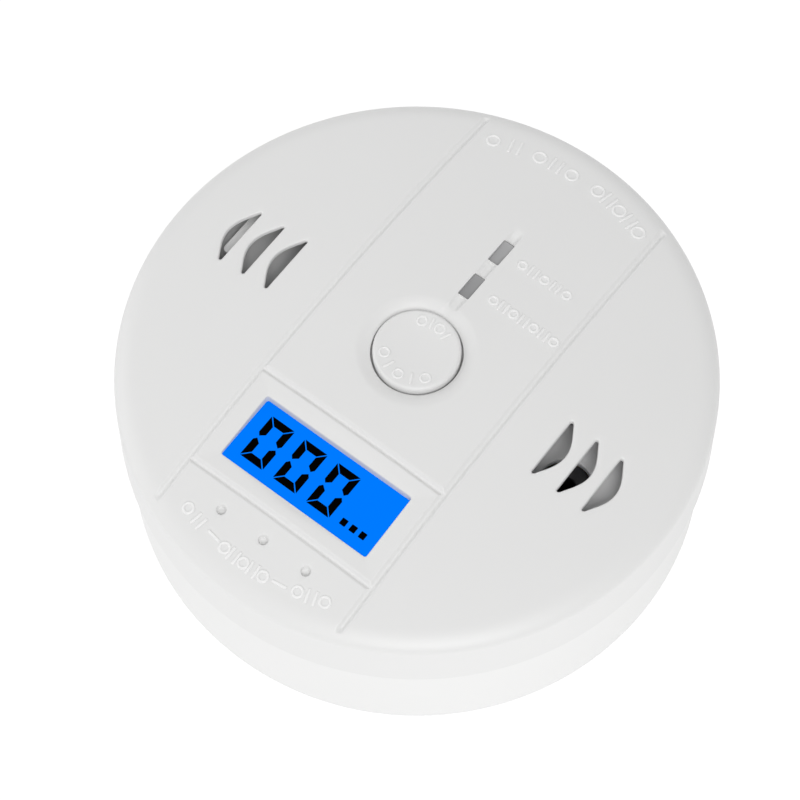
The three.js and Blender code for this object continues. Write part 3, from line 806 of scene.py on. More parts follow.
def cell_jacket():
    """A printed sleeve: dark, with a copper-coloured band on one half."""
    dark = (0.02, 0.022, 0.03)
    made = Surface("cell jacket", dark, 0.3)
    band = made.group("band", From=0.0095, To=0.03)
    grain = made.group("grain", Scale=1800.0, Depth=0.05, Roughness=0.3)
    made.masked(band.outputs["Mask"], dark, (0.62, 0.33, 0.12))
    made.join(grain.outputs["Gloss"], "Roughness")
    made.join(grain.outputs["Normal"], "Normal")
    return made.material


def light_window():
    """Smoked clear plastic over a dark shaft, a little darker towards the button."""
    made = Surface("light pipe", (0.3, 0.3, 0.31), 0.35, Coat_Weight=0.2, Coat_Roughness=0.2)
    band = made.group("band", From=0.012, To=1.0, Soft=0.014)
    grain = made.group("grain", Scale=2400.0, Depth=0.05, Roughness=0.35)
    made.masked(band.outputs["Mask"], (0.27, 0.27, 0.275), (0.4, 0.4, 0.405))
    made.join(grain.outputs["Gloss"], "Roughness")
    return made.material


def felt():
    """A soft fibrous pad."""
    made = Surface("filter felt", (0.5, 0.5, 0.5), 0.95, Sheen_Weight=0.3)
    grain = made.group("grain", Scale=2200.0, Depth=0.9, Roughness=0.95, Spread=0.0)
    made.join(grain.outputs["Normal"], "Normal")
    made.tinted(grain.outputs["Tint"])
    return made.material


FINISHES = {}


def finish(name):
    """The material of a slot or of a lighter kind of it, made on first use; the lighter kinds carry painted
    light.
    """
    white = tuple(settings("shell").colour)
    painted_light_tone, painted_highlight_tone = (tuple(min(v * k, 0.95) for v in white) for k in (1.06, 1.1))
    makers = {
        "shell_white": lambda: plastic("white plastic", white, 0.42, 0.1, Specular_IOR_Level=0.6),
        # the base's plastic is a paler copy of the cover's white: painted light that makes the base read
        # brighter than the cover's side
        "base_painted_light_white": lambda: plastic("base plastic painted lighter", painted_light_tone, 0.45, 0.1),
        "natural_plastic": lambda: plastic("natural plastic", (0.62, 0.6, 0.55), 0.45, 0.2),
        "black_plastic": lambda: plastic("black plastic", (0.018, 0.018, 0.02), 0.45, 0.3, 3200.0),
        "light_pipe": light_window,
        "led_green": lambda: plastic("green lamp", (0.03, 0.35, 0.08), 0.15, 0.02, Transmission_Weight=0.3),
        "led_red": lambda: plastic("red lamp", (0.5, 0.03, 0.02), 0.15, 0.02, Transmission_Weight=0.3),
        "display_blue": lit_display,
        "board_green": board_lacquer,
        "spring_steel": lambda: metal("spring steel", (0.62, 0.62, 0.63), 0.24),
        "screw_steel": lambda: metal("screw steel", (0.55, 0.55, 0.57), 0.3, (900.0, 900.0, 900.0)),
        "can_steel": lambda: metal("can steel", (0.6, 0.6, 0.6), 0.34, (300.0, 300.0, 6000.0)),
        "filter_felt": felt,
        "sounder_grey": lambda: plastic("sounder grey", (0.7, 0.7, 0.7), 0.5, 0.2),
        "piezo_brass": lambda: metal("piezo brass", (0.72, 0.5, 0.2), 0.3),
        "ferrite": lambda: plastic("ferrite", (0.03, 0.03, 0.032), 0.6, 0.6, 1500.0),
        "capacitor_sleeve": lambda: plastic("capacitor sleeve", (0.02, 0.03, 0.09), 0.3, 0.05),
        "cell_jacket": cell_jacket,
        "lead_red": lambda: plastic("red lead", (0.55, 0.02, 0.015), 0.4, 0.1),
        "lead_black": lambda: plastic("black lead", (0.02, 0.02, 0.02), 0.4, 0.1),
        "ink_black": lambda: plastic("display black", (0.001, 0.001, 0.001), 0.6, 0.02,
                                     Specular_IOR_Level=0.0),
        # the raised marks' paler white is a painted highlight: it stands in for the light their raised tops
        # catch
        "painted_highlight_white": lambda: plastic("raised white painted highlight", painted_highlight_tone, 0.4, 0.05),
    }
    if name not in FINISHES:
        FINISHES[name] = makers[name]()
    return FINISHES[name]


# ------------------------------------------------------------------ the face's shape


def dome(x, y):
    """Height of the plain dome, which curls down into the side beyond its edge."""
    s = settings("shell")
    radius = math.hypot(x, y)
    plain = s.height - s.sag * (radius / s.sag_radius) ** 2
    if radius <= s.edge:
        return plain
    curl = s.height - s.sag * (s.shoulder / s.sag_radius) ** 2 - s.shoulder_z
    share = min((radius - s.edge) / (s.shoulder - s.edge), 1.0)
    return plain - curl * (1 - math.sqrt(1 - share * share))


def trough(distance, half):
    """1 at the middle of a groove, 0 outside it, with long rounded flanks."""
    return 1 - ramp(abs(distance), half * 0.08, half)


def groove_share(x, y):
    """How deep into a groove a place is, from 0 to 1; the long grooves run out at the rim."""
    s = settings("shell")
    half = s.groove_width / 2
    fade = 1 - ramp(math.hypot(x, y), SKIN_REACH - 0.9 * MM, SKIN_REACH - 0.05 * MM)
    share = trough(abs(x) - s.groove_x, half) * fade
    if abs(x) < s.groove_x:
        for line in (s.groove_near, s.groove_far):
            share = max(share, trough(y - line, half))
    return share


def panel_drop(x, y):
    """How far the mitred bands round the display lie below the dome."""
    s, d = settings("shell"), settings("display")
    edge = s.groove_width / 2
    x1 = s.groove_x - edge
    y0, y1 = s.groove_near + edge, s.groove_far - edge
    if abs(x) >= x1 or not y0 < y < y1:
        return 0.0
    t = max((abs(x) - d.half_width) / (x1 - d.half_width), (y - d.far) / (y1 - d.far),
            (d.near - y) / (d.near - y0), 0.0)
    return d.drop * (1 - t)


def face(x, y):
    """Height of the cover's outer face, with everything that is pressed into it."""
    s, m = settings("shell"), settings("detail")
    radius = math.hypot(x, y)
    z = dome(x, y) - s.groove_depth * groove_share(x, y) - panel_drop(x, y)
    into_dish = max((s.dish - radius) / (s.dish - s.hole), 0.0)
    z -= s.dish_drop * into_dish ** 1.5
    if y > 0:
        half = m.light_width / 2
        end = 1 - ramp(y, m.channel_end - 2.6 * MM, m.channel_end + 0.2 * MM)
        side = 1 - ramp(abs(x), half * 0.35, half * 1.02)
        z -= m.channel_depth * side * end * (1 - min(into_dish, 1.0))
    for i in (-1, 0, 1):
        away = math.hypot(x - i * m.dimple_pitch, y - m.dimple_y)
        z -= m.dimple_depth * (1 - ramp(away, m.dimple_radius * 0.72, m.dimple_radius * 1.05))
    return z


def slot_outline(first, side):
    """A sound slot: a straight edge towards the middle and a swelling one away from it."""
    s = settings("shell")
    tip = s.slot_tip / 2
    reach = s.slot_half - tip
    steps = 30
    points = [(first, reach - 2 * reach * i / 14) for i in range(15)]
    points += arc((first + tip, -reach), tip, 180, 360, 6)[1:-1]
    for i in range(steps + 1):
        y = -reach + 2 * reach * i / steps
        swell = max(1 - (y / s.slot_half) ** 2, 0.0) ** 1.35
        points.append((first + s.slot_tip + (s.slot_bulge - s.slot_tip) * swell, y))
    points += arc((first + tip, reach), tip, 0, 180, 6)[1:-1]
    return points if side > 0 else [(-x, y) for x, y in points][::-1]


def cover_holes(sheet, lips):
    """Cuts the cover's holes into a sheet, in a fixed order; lips is 1 for rounded edges, 0 for none."""
    s, d, m = settings("shell"), settings("display"), settings("detail")
    slot_lip, button_lip, window_lip, light_lip = (size * lips * MM for size in (0.34, 0.08, 0.2, 0.04))
    for side in (-1, 1):
        for i in range(3):
            sheet.hole(slot_outline(s.slot_first + i * s.slot_pitch, side), slot_lip)
    sheet.hole(ring(s.hole, 96), button_lip)
    sheet.hole(rounded_rectangle(-d.half_width, d.half_width, d.near, d.far, 0.4 * MM), window_lip)
    half, tall = m.light_width / 2, m.light_length / 2
    for y in (m.light_low, m.light_high):
        sheet.hole(rounded_rectangle(-half, half, y - tall, y + tall, 0.15 * MM), light_lip)


def cover_top():
    """The outer sheet of the face with lines wherever its slope changes."""
    s, d, m = settings("shell"), settings("display"), settings("detail")
    sheet = Sheet(SKIN_REACH, 240)
    for radius in (47.3, 46.8, 46.2, 45.6, 44.9):
        sheet.loop(ring(radius * MM, 240))
    cover_holes(sheet, 1)
    half = s.groove_width / 2
    for share in (-1.25, -1.0, -0.8, -0.6, -0.4, -0.2, 0.0, 0.2, 0.4, 0.6, 0.8, 1.0, 1.25):
        for side in (-1, 1):
            x = side * s.groove_x + share * half
            reach = math.sqrt((SKIN_REACH - 0.1 * MM) ** 2 - x * x)
            sheet.line((x, -reach), (x, reach), 72)
        for y in (s.groove_near, s.groove_far):
            sheet.line((-s.groove_x, y + share * half), (s.groove_x, y + share * half), 30)
    x1, y0, y1 = s.groove_x - half, s.groove_near + half, s.groove_far - half
    lip = 0.22 * MM
    for side in (-1, 1):
        for far, edge in ((d.near - lip, y0), (d.far + lip, y1)):
            sheet.line((side * (d.half_width + lip), far), (side * x1, edge), 6)
    for radius in (7.75, 8.0, 8.3, 8.6, 8.9, 9.2, 9.5, 9.8, 10.05):
        sheet.loop(ring(radius * MM, 96))
    for share in (0.0, 0.35, 0.55, 0.75, 0.9, 1.02, 1.15):
        for side in (-1, 1) if share else (1,):
            x = side * share * m.light_width / 2
            sheet.line((x, 9.7 * MM), (x, m.channel_end + 0.4 * MM), 40)
    for i in (-1, 0, 1):
        for share in (0.3, 0.55, 0.7, 0.85, 1.0, 1.15):
            sheet.loop(ring(m.dimple_radius * share, 20, (i * m.dimple_pitch, m.dimple_y)))
    sheet.fill(1.3 * MM)
    return sheet


def cover_bottom():
    """The inner sheet of the face with lines round its thinned zones."""
    sheet = Sheet(UNDER_REACH, 240)
    cover_holes(sheet, 0)
    for side in (-1, 1):
        for grow in (0.0, ZONE_STEP):
            zone = grown_zone(SLOT_ZONE, grow, MM)
            sheet.loop(zone if side > 0 else [(-x, y) for x, y in zone])
    for grow in (0.0, ZONE_STEP):
        sheet.loop(grown_zone(GLASS_ZONE, grow, 0.5 * MM))
    sheet.fill(3.2 * MM)
    return sheet


def grown_zone(zone, grow, radius, steps=4):
    """The outline of a zone (x0, x1, y0, y1) with each side moved out by grow."""
    x0, x1, y0, y1 = zone
    return rounded_rectangle(x0 - grow, x1 + grow, y0 - grow, y1 + grow, radius, steps)


def within(zone, x, y):
    """Whether a place is inside a zone or on the inner half of the step round it."""
    x0, x1, y0, y1 = zone
    half = ZONE_STEP / 2
    return x0 - half < x < x1 + half and y0 - half < y < y1 + half


def cover_under(x, y):
    """Height of the inside of the face, flat where the display's glass sits and thin at the slots."""
    s = settings("shell")
    if within(GLASS_ZONE, x, y):
        return GLASS_BOX[1].z + 0.3 * MM
    if within(SLOT_ZONE, abs(x), y):
        return dome(x, y) - 0.9 * MM
    below_dish = 0.3 * MM if math.hypot(x, y) < s.dish + 0.6 * MM else 0.0
    return dome(x, y) - s.wall - below_dish


# ------------------------------------------------------------------ operators

HOUSING_SCREWS = [arc((0, 0), 40 * MM, a, a, 1)[0] for a in (45, 135, 225, 315)]
BOARD_SCREWS = in_mm([(0, 36.5), (-34.6, -18), (34.6, -18)])
LUG_ANGLES = (90, 210, 330)  # where the base's lugs and the housing's hooks stand, in degrees


class ALARM_OT_cover(bpy.types.Operator):
    """Builds the domed front cover with its grooves, slots, display bezel and light channel"""

    bl_idname = "alarm.cover"
    bl_label = "Front cover"

    def execute(self, context):
        s = settings("shell")
        skin = pierced(cover_top(), face, cover_bottom(), cover_under)
        reach = s.shoulder - s.edge
        start = math.asin((SKIN_REACH - s.edge) / reach)
        turns = [start + (math.pi / 2 - start) * i / 12 for i in range(13)]
        outer = [(s.edge + reach * math.sin(a), dome(s.edge + reach * math.sin(a), 0)) for a in turns]
        rim = [(s.radius - 0.06 * MM, s.rim + 1.2 * MM), (s.radius, s.rim + 0.35 * MM)]
        rim += arc((s.radius - 0.3 * MM, s.rim + 0.3 * MM), 0.3 * MM, 0, -90, 4)
        inner = [(47.6, 21.0), (47.4, 21.2), (47.1, 25.0), (46.8, 30.2), (46.5, 31.0), (46.0, 31.5)]
        profile = outer + rim + in_mm(inner + [(45.3, 31.9)])
        profile.append((UNDER_REACH, cover_under(UNDER_REACH, 0)))
        side = lathe(profile, 240)
        collar = [(9.2, 35.6), (9.2, 31.2), (9.4, 31.0), (10.2, 31.0), (10.4, 31.2), (10.4, 35.6)]
        boss = [(1.6, 23.9), (1.9, 23.6), (3.2, 23.6), (3.4, 23.8), (3.5, 33.5), (0, 33.5), (0, 30)]
        boss += [(1.6, 30)]
        bosses = [lathe(in_mm(boss + boss[:1]), 32, at) for at in HOUSING_SCREWS]
        guide = lathe(in_mm(collar + collar[:1]), 64)
        shown("cover", joined(skin, side), "shell_white", "front_cover", sharp=48.0)
        shown("cover_bosses", joined(guide, *bosses), "shell_white")
        return {"FINISHED"}


def bar(width, height, relief, sunk=0.12 * MM):
    """A raised stroke with a rounded top."""
    radius = min(width, height) * 0.32
    outline = rounded_rectangle(-width / 2, width / 2, -height / 2, height / 2, radius, 4)
    return slab(outline, -sunk, relief, min(radius * 0.95, relief * 0.9))


def hoop(outer, inner, relief, sunk=0.12 * MM, count=28):
    """A raised ring with a rounded top."""
    edge = min((outer - inner) * 0.4, relief * 0.9)
    profile = [(inner, -sunk), (outer, -sunk)] + arc((outer - edge, relief - edge), edge, 0, 90, 4)
    profile += arc((inner + edge, relief - edge), edge, 90, 180, 4) + [(inner, -sunk)]
    return lathe(profile, count)


class ALARM_OT_relief(bpy.types.Operator):
    """Raises the small plain marks on the face: rings and bars in rows and along the rim"""

    bl_idname = "alarm.relief"
    bl_label = "Relief marks"

    def execute(self, context):
        s, m = settings("shell"), settings("detail")
        # the marks take the paler white, a painted highlight for the light on their raised tops
        white = finish("painted_highlight_white")
        arcs, rows = array_tree("marks on an arc", on_arc), array_tree("marks in rows", on_grid)
        shape = {"Dome_height": s.height, "Dome_sag": s.sag, "Sag_radius": s.sag_radius, "Material": white}
        made = []

        def group(name, tall, tree, first, step, count, across):
            """A run of marks: rings at the odd places and twin bars between them."""
            twin = joined(moved(bar(0.46 * MM, tall, m.relief), (-0.27 * tall, 0, 0)),
                          moved(bar(0.46 * MM, tall, m.relief), (0.27 * tall, 0, 0)))
            hoop_mark = hoop(tall * 0.44, tall * 0.44 - 0.46 * MM, m.relief)
            marks = ((hoop_mark, first, (count + 1) // 2), (twin, first + step, count // 2))
            for i, (mark, start, number) in enumerate(marks):
                made.append(arrayed(f"{name}_{i}", mark, tree, First=start, Step=2 * step, Count=number,
                                    Across=across, **shape))

        turn = math.radians
        group("far_left", 2.9 * MM, arcs, turn(109.7), turn(-5.2), 2, m.far_arc)
        group("far_middle", 2.9 * MM, arcs, turn(98.4), turn(-4.2), 3, m.far_arc)
        group("far_right", 2.9 * MM, arcs, turn(83.1), turn(-3.35), 5, m.far_arc + 0.5 * MM)
        group("near_left", 2.4 * MM, arcs, turn(-107.0), turn(3.6), 2, m.near_arc)
        group("near_middle", 2.4 * MM, arcs, turn(-95.4), turn(2.5), 5, m.near_arc)
        group("near_right", 2.4 * MM, arcs, turn(-77.6), turn(3.0), 3, m.near_arc - 0.4 * MM)
        group("upper_row", 2.1 * MM, rows, 4.2 * MM, 2.2 * MM, 5, 23.0 * MM)
        group("lower_row", 2.1 * MM, rows, 4.4 * MM, 2.0 * MM, 7, 14.7 * MM)
        made.append(arrayed("near_dashes", bar(2.6 * MM, 0.46 * MM, m.relief), arcs, First=turn(-98.9),
                            Step=turn(17.2), Count=2, Across=m.near_arc - 0.2 * MM, **shape))
        place(merged("face_marks", made), HEAD, "shell_white", white)
        return {"FINISHED"}


class ALARM_OT_button(bpy.types.Operator):
    """Turns the test button, its marks and the spring under it"""

    bl_idname = "alarm.button"
    bl_label = "Test button"

    def execute(self, context):
        top, foot = CAP_BOX[1].z, CAP_BOX[0].z
        radius, rounding, hollow = 7.15 * MM, 0.55 * MM, 0.3 * MM
        flange = CAP_BOX[1].x
        crown = top - 0.06 * MM
        profile = [(0, foot), (1.9 * MM, foot), (2.1 * MM, foot + 0.2 * MM), (2.1 * MM, 34.6 * MM)]
        profile += [(flange - 0.1 * MM, 34.6 * MM), (flange, 34.7 * MM), (flange, 34.9 * MM)]
        profile += [(flange - 0.1 * MM, 35.0 * MM), (radius + 0.1 * MM, 35.0 * MM), (radius, 35.1 * MM)]
        profile += arc((radius - rounding, crown - rounding), rounding, 0, 90, 8)
        reach = radius - rounding
        profile += [(reach * k, crown - hollow * (1 - k * k)) for k in (0.96, 0.9, 0.8, 0.65, 0.45, 0.25, 0)]
        shown("button", lathe(profile, 128), "shell_white", "button_cap", BUTTON, sharp=40)

        # the button's marks take the paler white, a painted highlight for the light on their raised tops
        raised = finish("painted_highlight_white")
        arcs = array_tree("marks on the button", on_arc)
        hollow_dome = {"Dome_height": crown - hollow, "Dome_sag": -hollow, "Sag_radius": reach,
                       "Material": raised}
        relief = 0.18 * MM
        hoop_mark, bar_mark = hoop(0.98 * MM, 0.6 * MM, relief, count=20), bar(0.38 * MM, 2.1 * MM, relief)
        made = []
        for name, mark, first, step, count in (
            ("upper_rings", hoop_mark, 118, -36, 2), ("upper_bars", bar_mark, 100, -36, 2),
            ("lower_rings", hoop_mark, 222, 50, 3), ("lower_bars", bar_mark, 247, 50, 2),
        ):
            made.append(arrayed(name, mark, arcs, First=math.radians(first), Step=math.radians(step),
                                Count=count, Across=5.2 * MM, **hollow_dome))
        place(merged("button_marks", made), BUTTON, "shell_white", raised)

        low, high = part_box("button_spring")
        wire = 0.35 * MM
        coil = high.x - wire
        turns, steps = 5.0, 240
        points = []
        for i in range(steps + 1):
            t = i / steps
            angle = TURN * turns * t
            lift = ramp(t, 0.0, 1.0) * 0.25 + t * 0.75
            points.append((coil * math.cos(angle), coil * math.sin(angle),
                           low.z + wire + (high.z - low.z - 2 * wire) * lift))
        spring = shown("button_coil", tube(points, wire, 10), "spring_steel", "button_spring", sharp=60)
        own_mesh(spring)
        return {"FINISHED"}


def segment_digit(width, height, stroke):
    """A seven-part nought: six flat strokes with mitred ends, in a box centred on the origin."""
    w, h, s, gap = width / 2, height / 2, stroke, 0.14 * MM
    across = [(-w + gap, h), (w - gap, h), (w - s - gap * 0.4, h - s), (-w + s + gap * 0.4, h - s)]
    upright = [(w, h - gap), (w, gap * 2.2 + s * 0.35), (w - s * 0.35, gap * 1.6),
               (w - s, gap * 2.2 + s * 0.45), (w - s, h - s - gap * 1.4)]
    parts = []
    for sign in (1, -1):
        for side, outline in ((1, across), (1, upright), (-1, upright)):
            flipped = [(side * x, sign * y) for x, y in outline]
            parts.append(inked(flipped if side * sign < 0 else flipped[::-1]))
    return joined(*parts)


def inked(outline):
    """A printed shape, thin and flat."""
    return slab(outline, 0.0, 0.03 * MM, 0.004 * MM)


class ALARM_OT_display(bpy.types.Operator):
    """Lays the lit display panel under its window and sets the digits on it"""

    bl_idname = "alarm.display"
    bl_label = "Display"

    def execute(self, context):
        d = settings("display")
        low, high = GLASS_BOX
        shown("display_panel", brick(low, high, 0.15 * MM), "display_blue", "lcd_glass")
        rows = array_tree("digits in a row", on_grid)
        flat = {"Dome_height": high.z, "Material": finish("ink_black")}
        digits = arrayed("digits", segment_digit(d.digit_width, d.digit_height, d.stroke), rows, Count=3,
                         First=d.digit_first, Step=d.digit_pitch, Across=d.digit_row, **flat)
        unit_mark = inked(rounded_rectangle(-0.55 * MM, 0.55 * MM, -0.6 * MM, 0.6 * MM, 0.12 * MM))
        units = arrayed("units", unit_mark, rows, Count=3, First=d.unit_first, Step=d.unit_pitch,
                        Across=d.unit_row, **flat)
        place(merged("display_digits", [digits, units]), HEAD, "black_plastic", finish("ink_black"))
        softened("display_tray", "lcd_frame", 0.25 * MM, "black_plastic")
        softened("display_light", "lcd_backlight", 0.3 * MM, "natural_plastic")
        softened("display_pins", "lcd_pin_header", 0.08 * MM, "black_plastic")
        return {"FINISHED"}


class ALARM_OT_lights(bpy.types.Operator):
    """Makes the two light windows, their rods and the lamps below them"""

    bl_idname = "alarm.lights"
    bl_label = "Light windows and lamps"

    def execute(self, context):
        m = settings("detail")
        half, tall = m.light_width / 2 - 0.05 * MM, m.light_length / 2 - 0.05 * MM
        for name, node, lamp, y in (
            ("light_rod_lower", "light_pipe_lower", "led_green", m.light_low),
            ("light_rod_upper", "light_pipe_upper", "led_red", m.light_high),
        ):
            brow = dome(0, y + tall)
            rod = brick((-half, y - tall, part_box(node)[0].z), (half, y + tall, brow - 0.22 * MM), 0.12 * MM)
            more = 0.85 * MM
            collar_top = brow - settings("shell").wall - 0.35 * MM
            collar = brick((-half - more, y - tall - more, collar_top - MM),
                           (half + more, y + tall + more, collar_top), 0.2 * MM)
            shown(name, joined(rod, collar), "light_pipe", node)
            low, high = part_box(lamp)
            profile = [(0, 0), (1.7, 0), (1.8, 0.1), (1.8, 0.7), (1.5, 0.8), (1.4, 0.9), (1.4, 2.2)]
            profile += arc((0, 2.2), 1.4, 0, 90, 10)[1:-1] + [(0, 3.6)]
            shown(lamp + "_lamp", lathe(in_mm(profile, low.z), 40, middle(low, high)), lamp, lamp)
        return {"FINISHED"}


class ALARM_OT_sounder(bpy.types.Operator):
    """Turns the sounder under the right-hand slots"""

    bl_idname = "alarm.sounder"
    bl_label = "Sounder"

    def execute(self, context):
        low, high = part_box("sounder_housing")
        centre, base = middle(low, high), low.z
        tall, r = (high.z - low.z) / MM, (high.x - low.x) / 2 / MM
        profile = [(r - 1.5, 0), (r, 0), (r, tall - 0.9)] + arc((r - 0.5, tall - 0.5), 0.5, 0, 90, 5)
        profile += arc((4.7, tall - 0.3), 0.3, 90, 180, 4)
        profile += [(4.4, tall - 1.2), (r - 3, tall - 1.2), (r - 3, 1.5), (r - 1.5, 1.5)]
        profile.append(profile[0])
        shown("sounder", lathe(in_mm(profile, base), 96, centre), "sounder_grey", "sounder_housing")
        tall = (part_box("sounder_insert")[1].z - base) / MM
        profile = [(0, 2), (5.2, 2), (5.2, 2.8), (4.2, 2.9), (4.2, tall - 0.6), (4.0, tall - 0.5)]
        profile += [(2.0, tall - 0.3), (1.8, tall - 0.4), (1.7, tall - 0.5), (1.7, 2.3), (0, 2.3)]
        shown("sounder_throat", lathe(in_mm(profile, base), 64, centre), "black_plastic", "sounder_insert")
        low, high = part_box("piezo_disc")
        edge, thick = (high.x - low.x) / 2, high.z - low.z
        disc = [(0, low.z), (edge - 0.05 * MM, low.z), (edge, low.z + thick / 2), (edge - 0.05 * MM, high.z),
                (7 * MM, high.z), (6.9 * MM, high.z + 0.08 * MM), (0, high.z + 0.08 * MM)]
        shown("piezo_plate", lathe(disc, 80, centre), "piezo_brass", "piezo_disc")
        return {"FINISHED"}


class ALARM_OT_sensor(bpy.types.Operator):
    """Turns the gas sensor's can and base and lays the dust filter over it"""

    bl_idname = "alarm.sensor"
    bl_label = "Gas sensor"

    def execute(self, context):
        low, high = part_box("sensor_can")
        centre = middle(low, high)
        r, z0, z1 = (high.x - low.x) / 2 / MM, low.z / MM, high.z / MM
        profile = [(r - 0.6, z0), (r - 0.1, z0), (r, z0 + 0.1), (r, z1 - 0.8)]
        profile += arc((r - 0.8, z1 - 0.8), 0.8, 0, 90, 6)
        profile += [(4.4, z1), (4.2, z1 - 0.12), (3.4, z1 - 0.12), (3.2, z1), (2.1, z1), (2, z1 - 0.1)]
        profile += [(2, z1 - 0.6), (r - 0.9, z1 - 0.7), (r - 0.6, z1 - 0.9), (r - 0.6, z0)]
        shown("gas_sensor", lathe(in_mm(profile), 80, centre), "can_steel", "sensor_can")
        low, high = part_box("sensor_base")
        edge = (high.x - low.x) / 2
        profile = [(0, low.z), (edge - 0.2 * MM, low.z), (edge, low.z + 0.2 * MM), (edge, high.z - 0.3 * MM),
                   (edge - 0.3 * MM, high.z), (0, high.z)]
        shown("gas_sensor_base", lathe(profile, 64, centre), "black_plastic", "sensor_base")
        for name, node, slot, corner, bevel in (
            ("filter_pad", "dust_filter", "filter_felt", 1.6 * MM, 0.2 * MM),
            ("filter_hold", "filter_clip", "shell_white", 0.9 * MM, 0.15 * MM),
        ):
            low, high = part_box(node)
            outline = rounded_rectangle(low.x, high.x, low.y, high.y, corner, 6)
            shown(name, slab(outline, low.z, high.z, bevel), slot, node)
        return {"FINISHED"}


def sector_outline(inner, outer, start, end):
    """An arc-shaped plate's outline, anticlockwise, angles in degrees."""
    steps = max(2, int(abs(end - start) / 2))
    return arc((0, 0), outer, start, end, steps) + arc((0, 0), inner, end, start, steps)


def keyhole_outline(x, head_y, head, slot, top):
    """A round hole for a screw's head running up into a narrower slot."""
    half = slot / 2
    angle = math.degrees(math.acos(half / head))
    points = arc((x, head_y), head, 180 - angle, 360 + angle, 30)
    return points + arc((x, top), half, 0, 180, 14)


class ALARM_OT_base(bpy.types.Operator):
    """Builds the base that screws to the wall: ring, floor with keyholes, lugs, stops and ribs"""

    bl_idname = "alarm.base"
    bl_label = "Mounting base"

    def execute(self, context):
        # the base takes the paler copy of the white plastic, painted light that makes it read brighter than
        # the cover
        white = finish("base_painted_light_white")
        rim, floor_top = 46.0 * MM, 2.0 * MM
        pips = [arc((0, 0), 21 * MM, a, a, 1)[0] for a in range(30, 360, 60)]

        def back(x, y):
            radius = math.hypot(x, y) / MM
            groove = ramp(radius, 37.6, 37.8) * (1 - ramp(radius, 38.4, 38.6))
            pip = max(1 - ramp(math.hypot(x - px, y - py) / MM, 1.95, 2.1) for px, py in pips)
            return 0.3 * MM * groove + 0.18 * MM * pip

        top, bottom = Sheet(rim, 180), Sheet(rim, 180)
        for sheet in (top, bottom):
            for side in (-1, 1):
                sheet.hole(keyhole_outline(side * 30 * MM, -3 * MM, 4.3 * MM, 4.8 * MM, 6 * MM), 0.15 * MM)
        for radius in (37.6, 37.75, 38.45, 38.6):
            bottom.loop(ring(radius * MM, 120))
        for pip in pips:
            for radius in (1.95, 2.03, 2.1):
                bottom.loop(ring(radius * MM, 24, pip))
        top.fill(4 * MM)
        bottom.fill(4 * MM)
        bottom.drops = {i: -drop for i, drop in bottom.drops.items()}
        floor = pierced(top, lambda x, y: floor_top, bottom, back)
        profile = [(rim / MM, 0), (48.6, 0)] + arc((48.6, 0.8), 0.8, -90, 0, 5)
        profile += [(49.32, 2.2), (48.66, 19.9)] + arc((48.25, 20.2), 0.4, 0, 90, 5)
        profile += [(47.3, 20.6), (46.98, 20.5), (46.9, 20.3), (46.9, 2.7)] + arc((46.2, 2.7), 0.7, 0, -90, 4)
        profile.append((rim / MM, floor_top / MM))
        wall = lathe(in_mm(profile), 180)
        lugs = []
        for angle in LUG_ANGLES:
            for start, end, foot in ((-10, 10, 12.0), (-11.6, -8.6, 8.6)):
                lug = sector_outline(44.9 * MM, 47.2 * MM, angle + start, angle + end)
                lugs.append(slab(lug, foot * MM, 14 * MM, 0.25 * MM))
        base = mesh_object("base", *joined(floor, wall, *lugs), sharp=40)
        place(base, BASE, "shell_white", white, "mounting_base")
        rib = brick((-0.5 * MM, -1.9 * MM, -0.2 * MM), (0.5 * MM, 1.9 * MM, 0.8 * MM), 0.2 * MM)
        arcs = array_tree("ribs round the base", on_arc)
        ribs = arrayed("base_ribs", rib, arcs, First=0.0, Step=TURN / 24, Count=24, Across=44.6 * MM,
                       Dome_height=floor_top, Material=white)
        place(ribs, BASE, "shell_white", white)
        return {"FINISHED"}


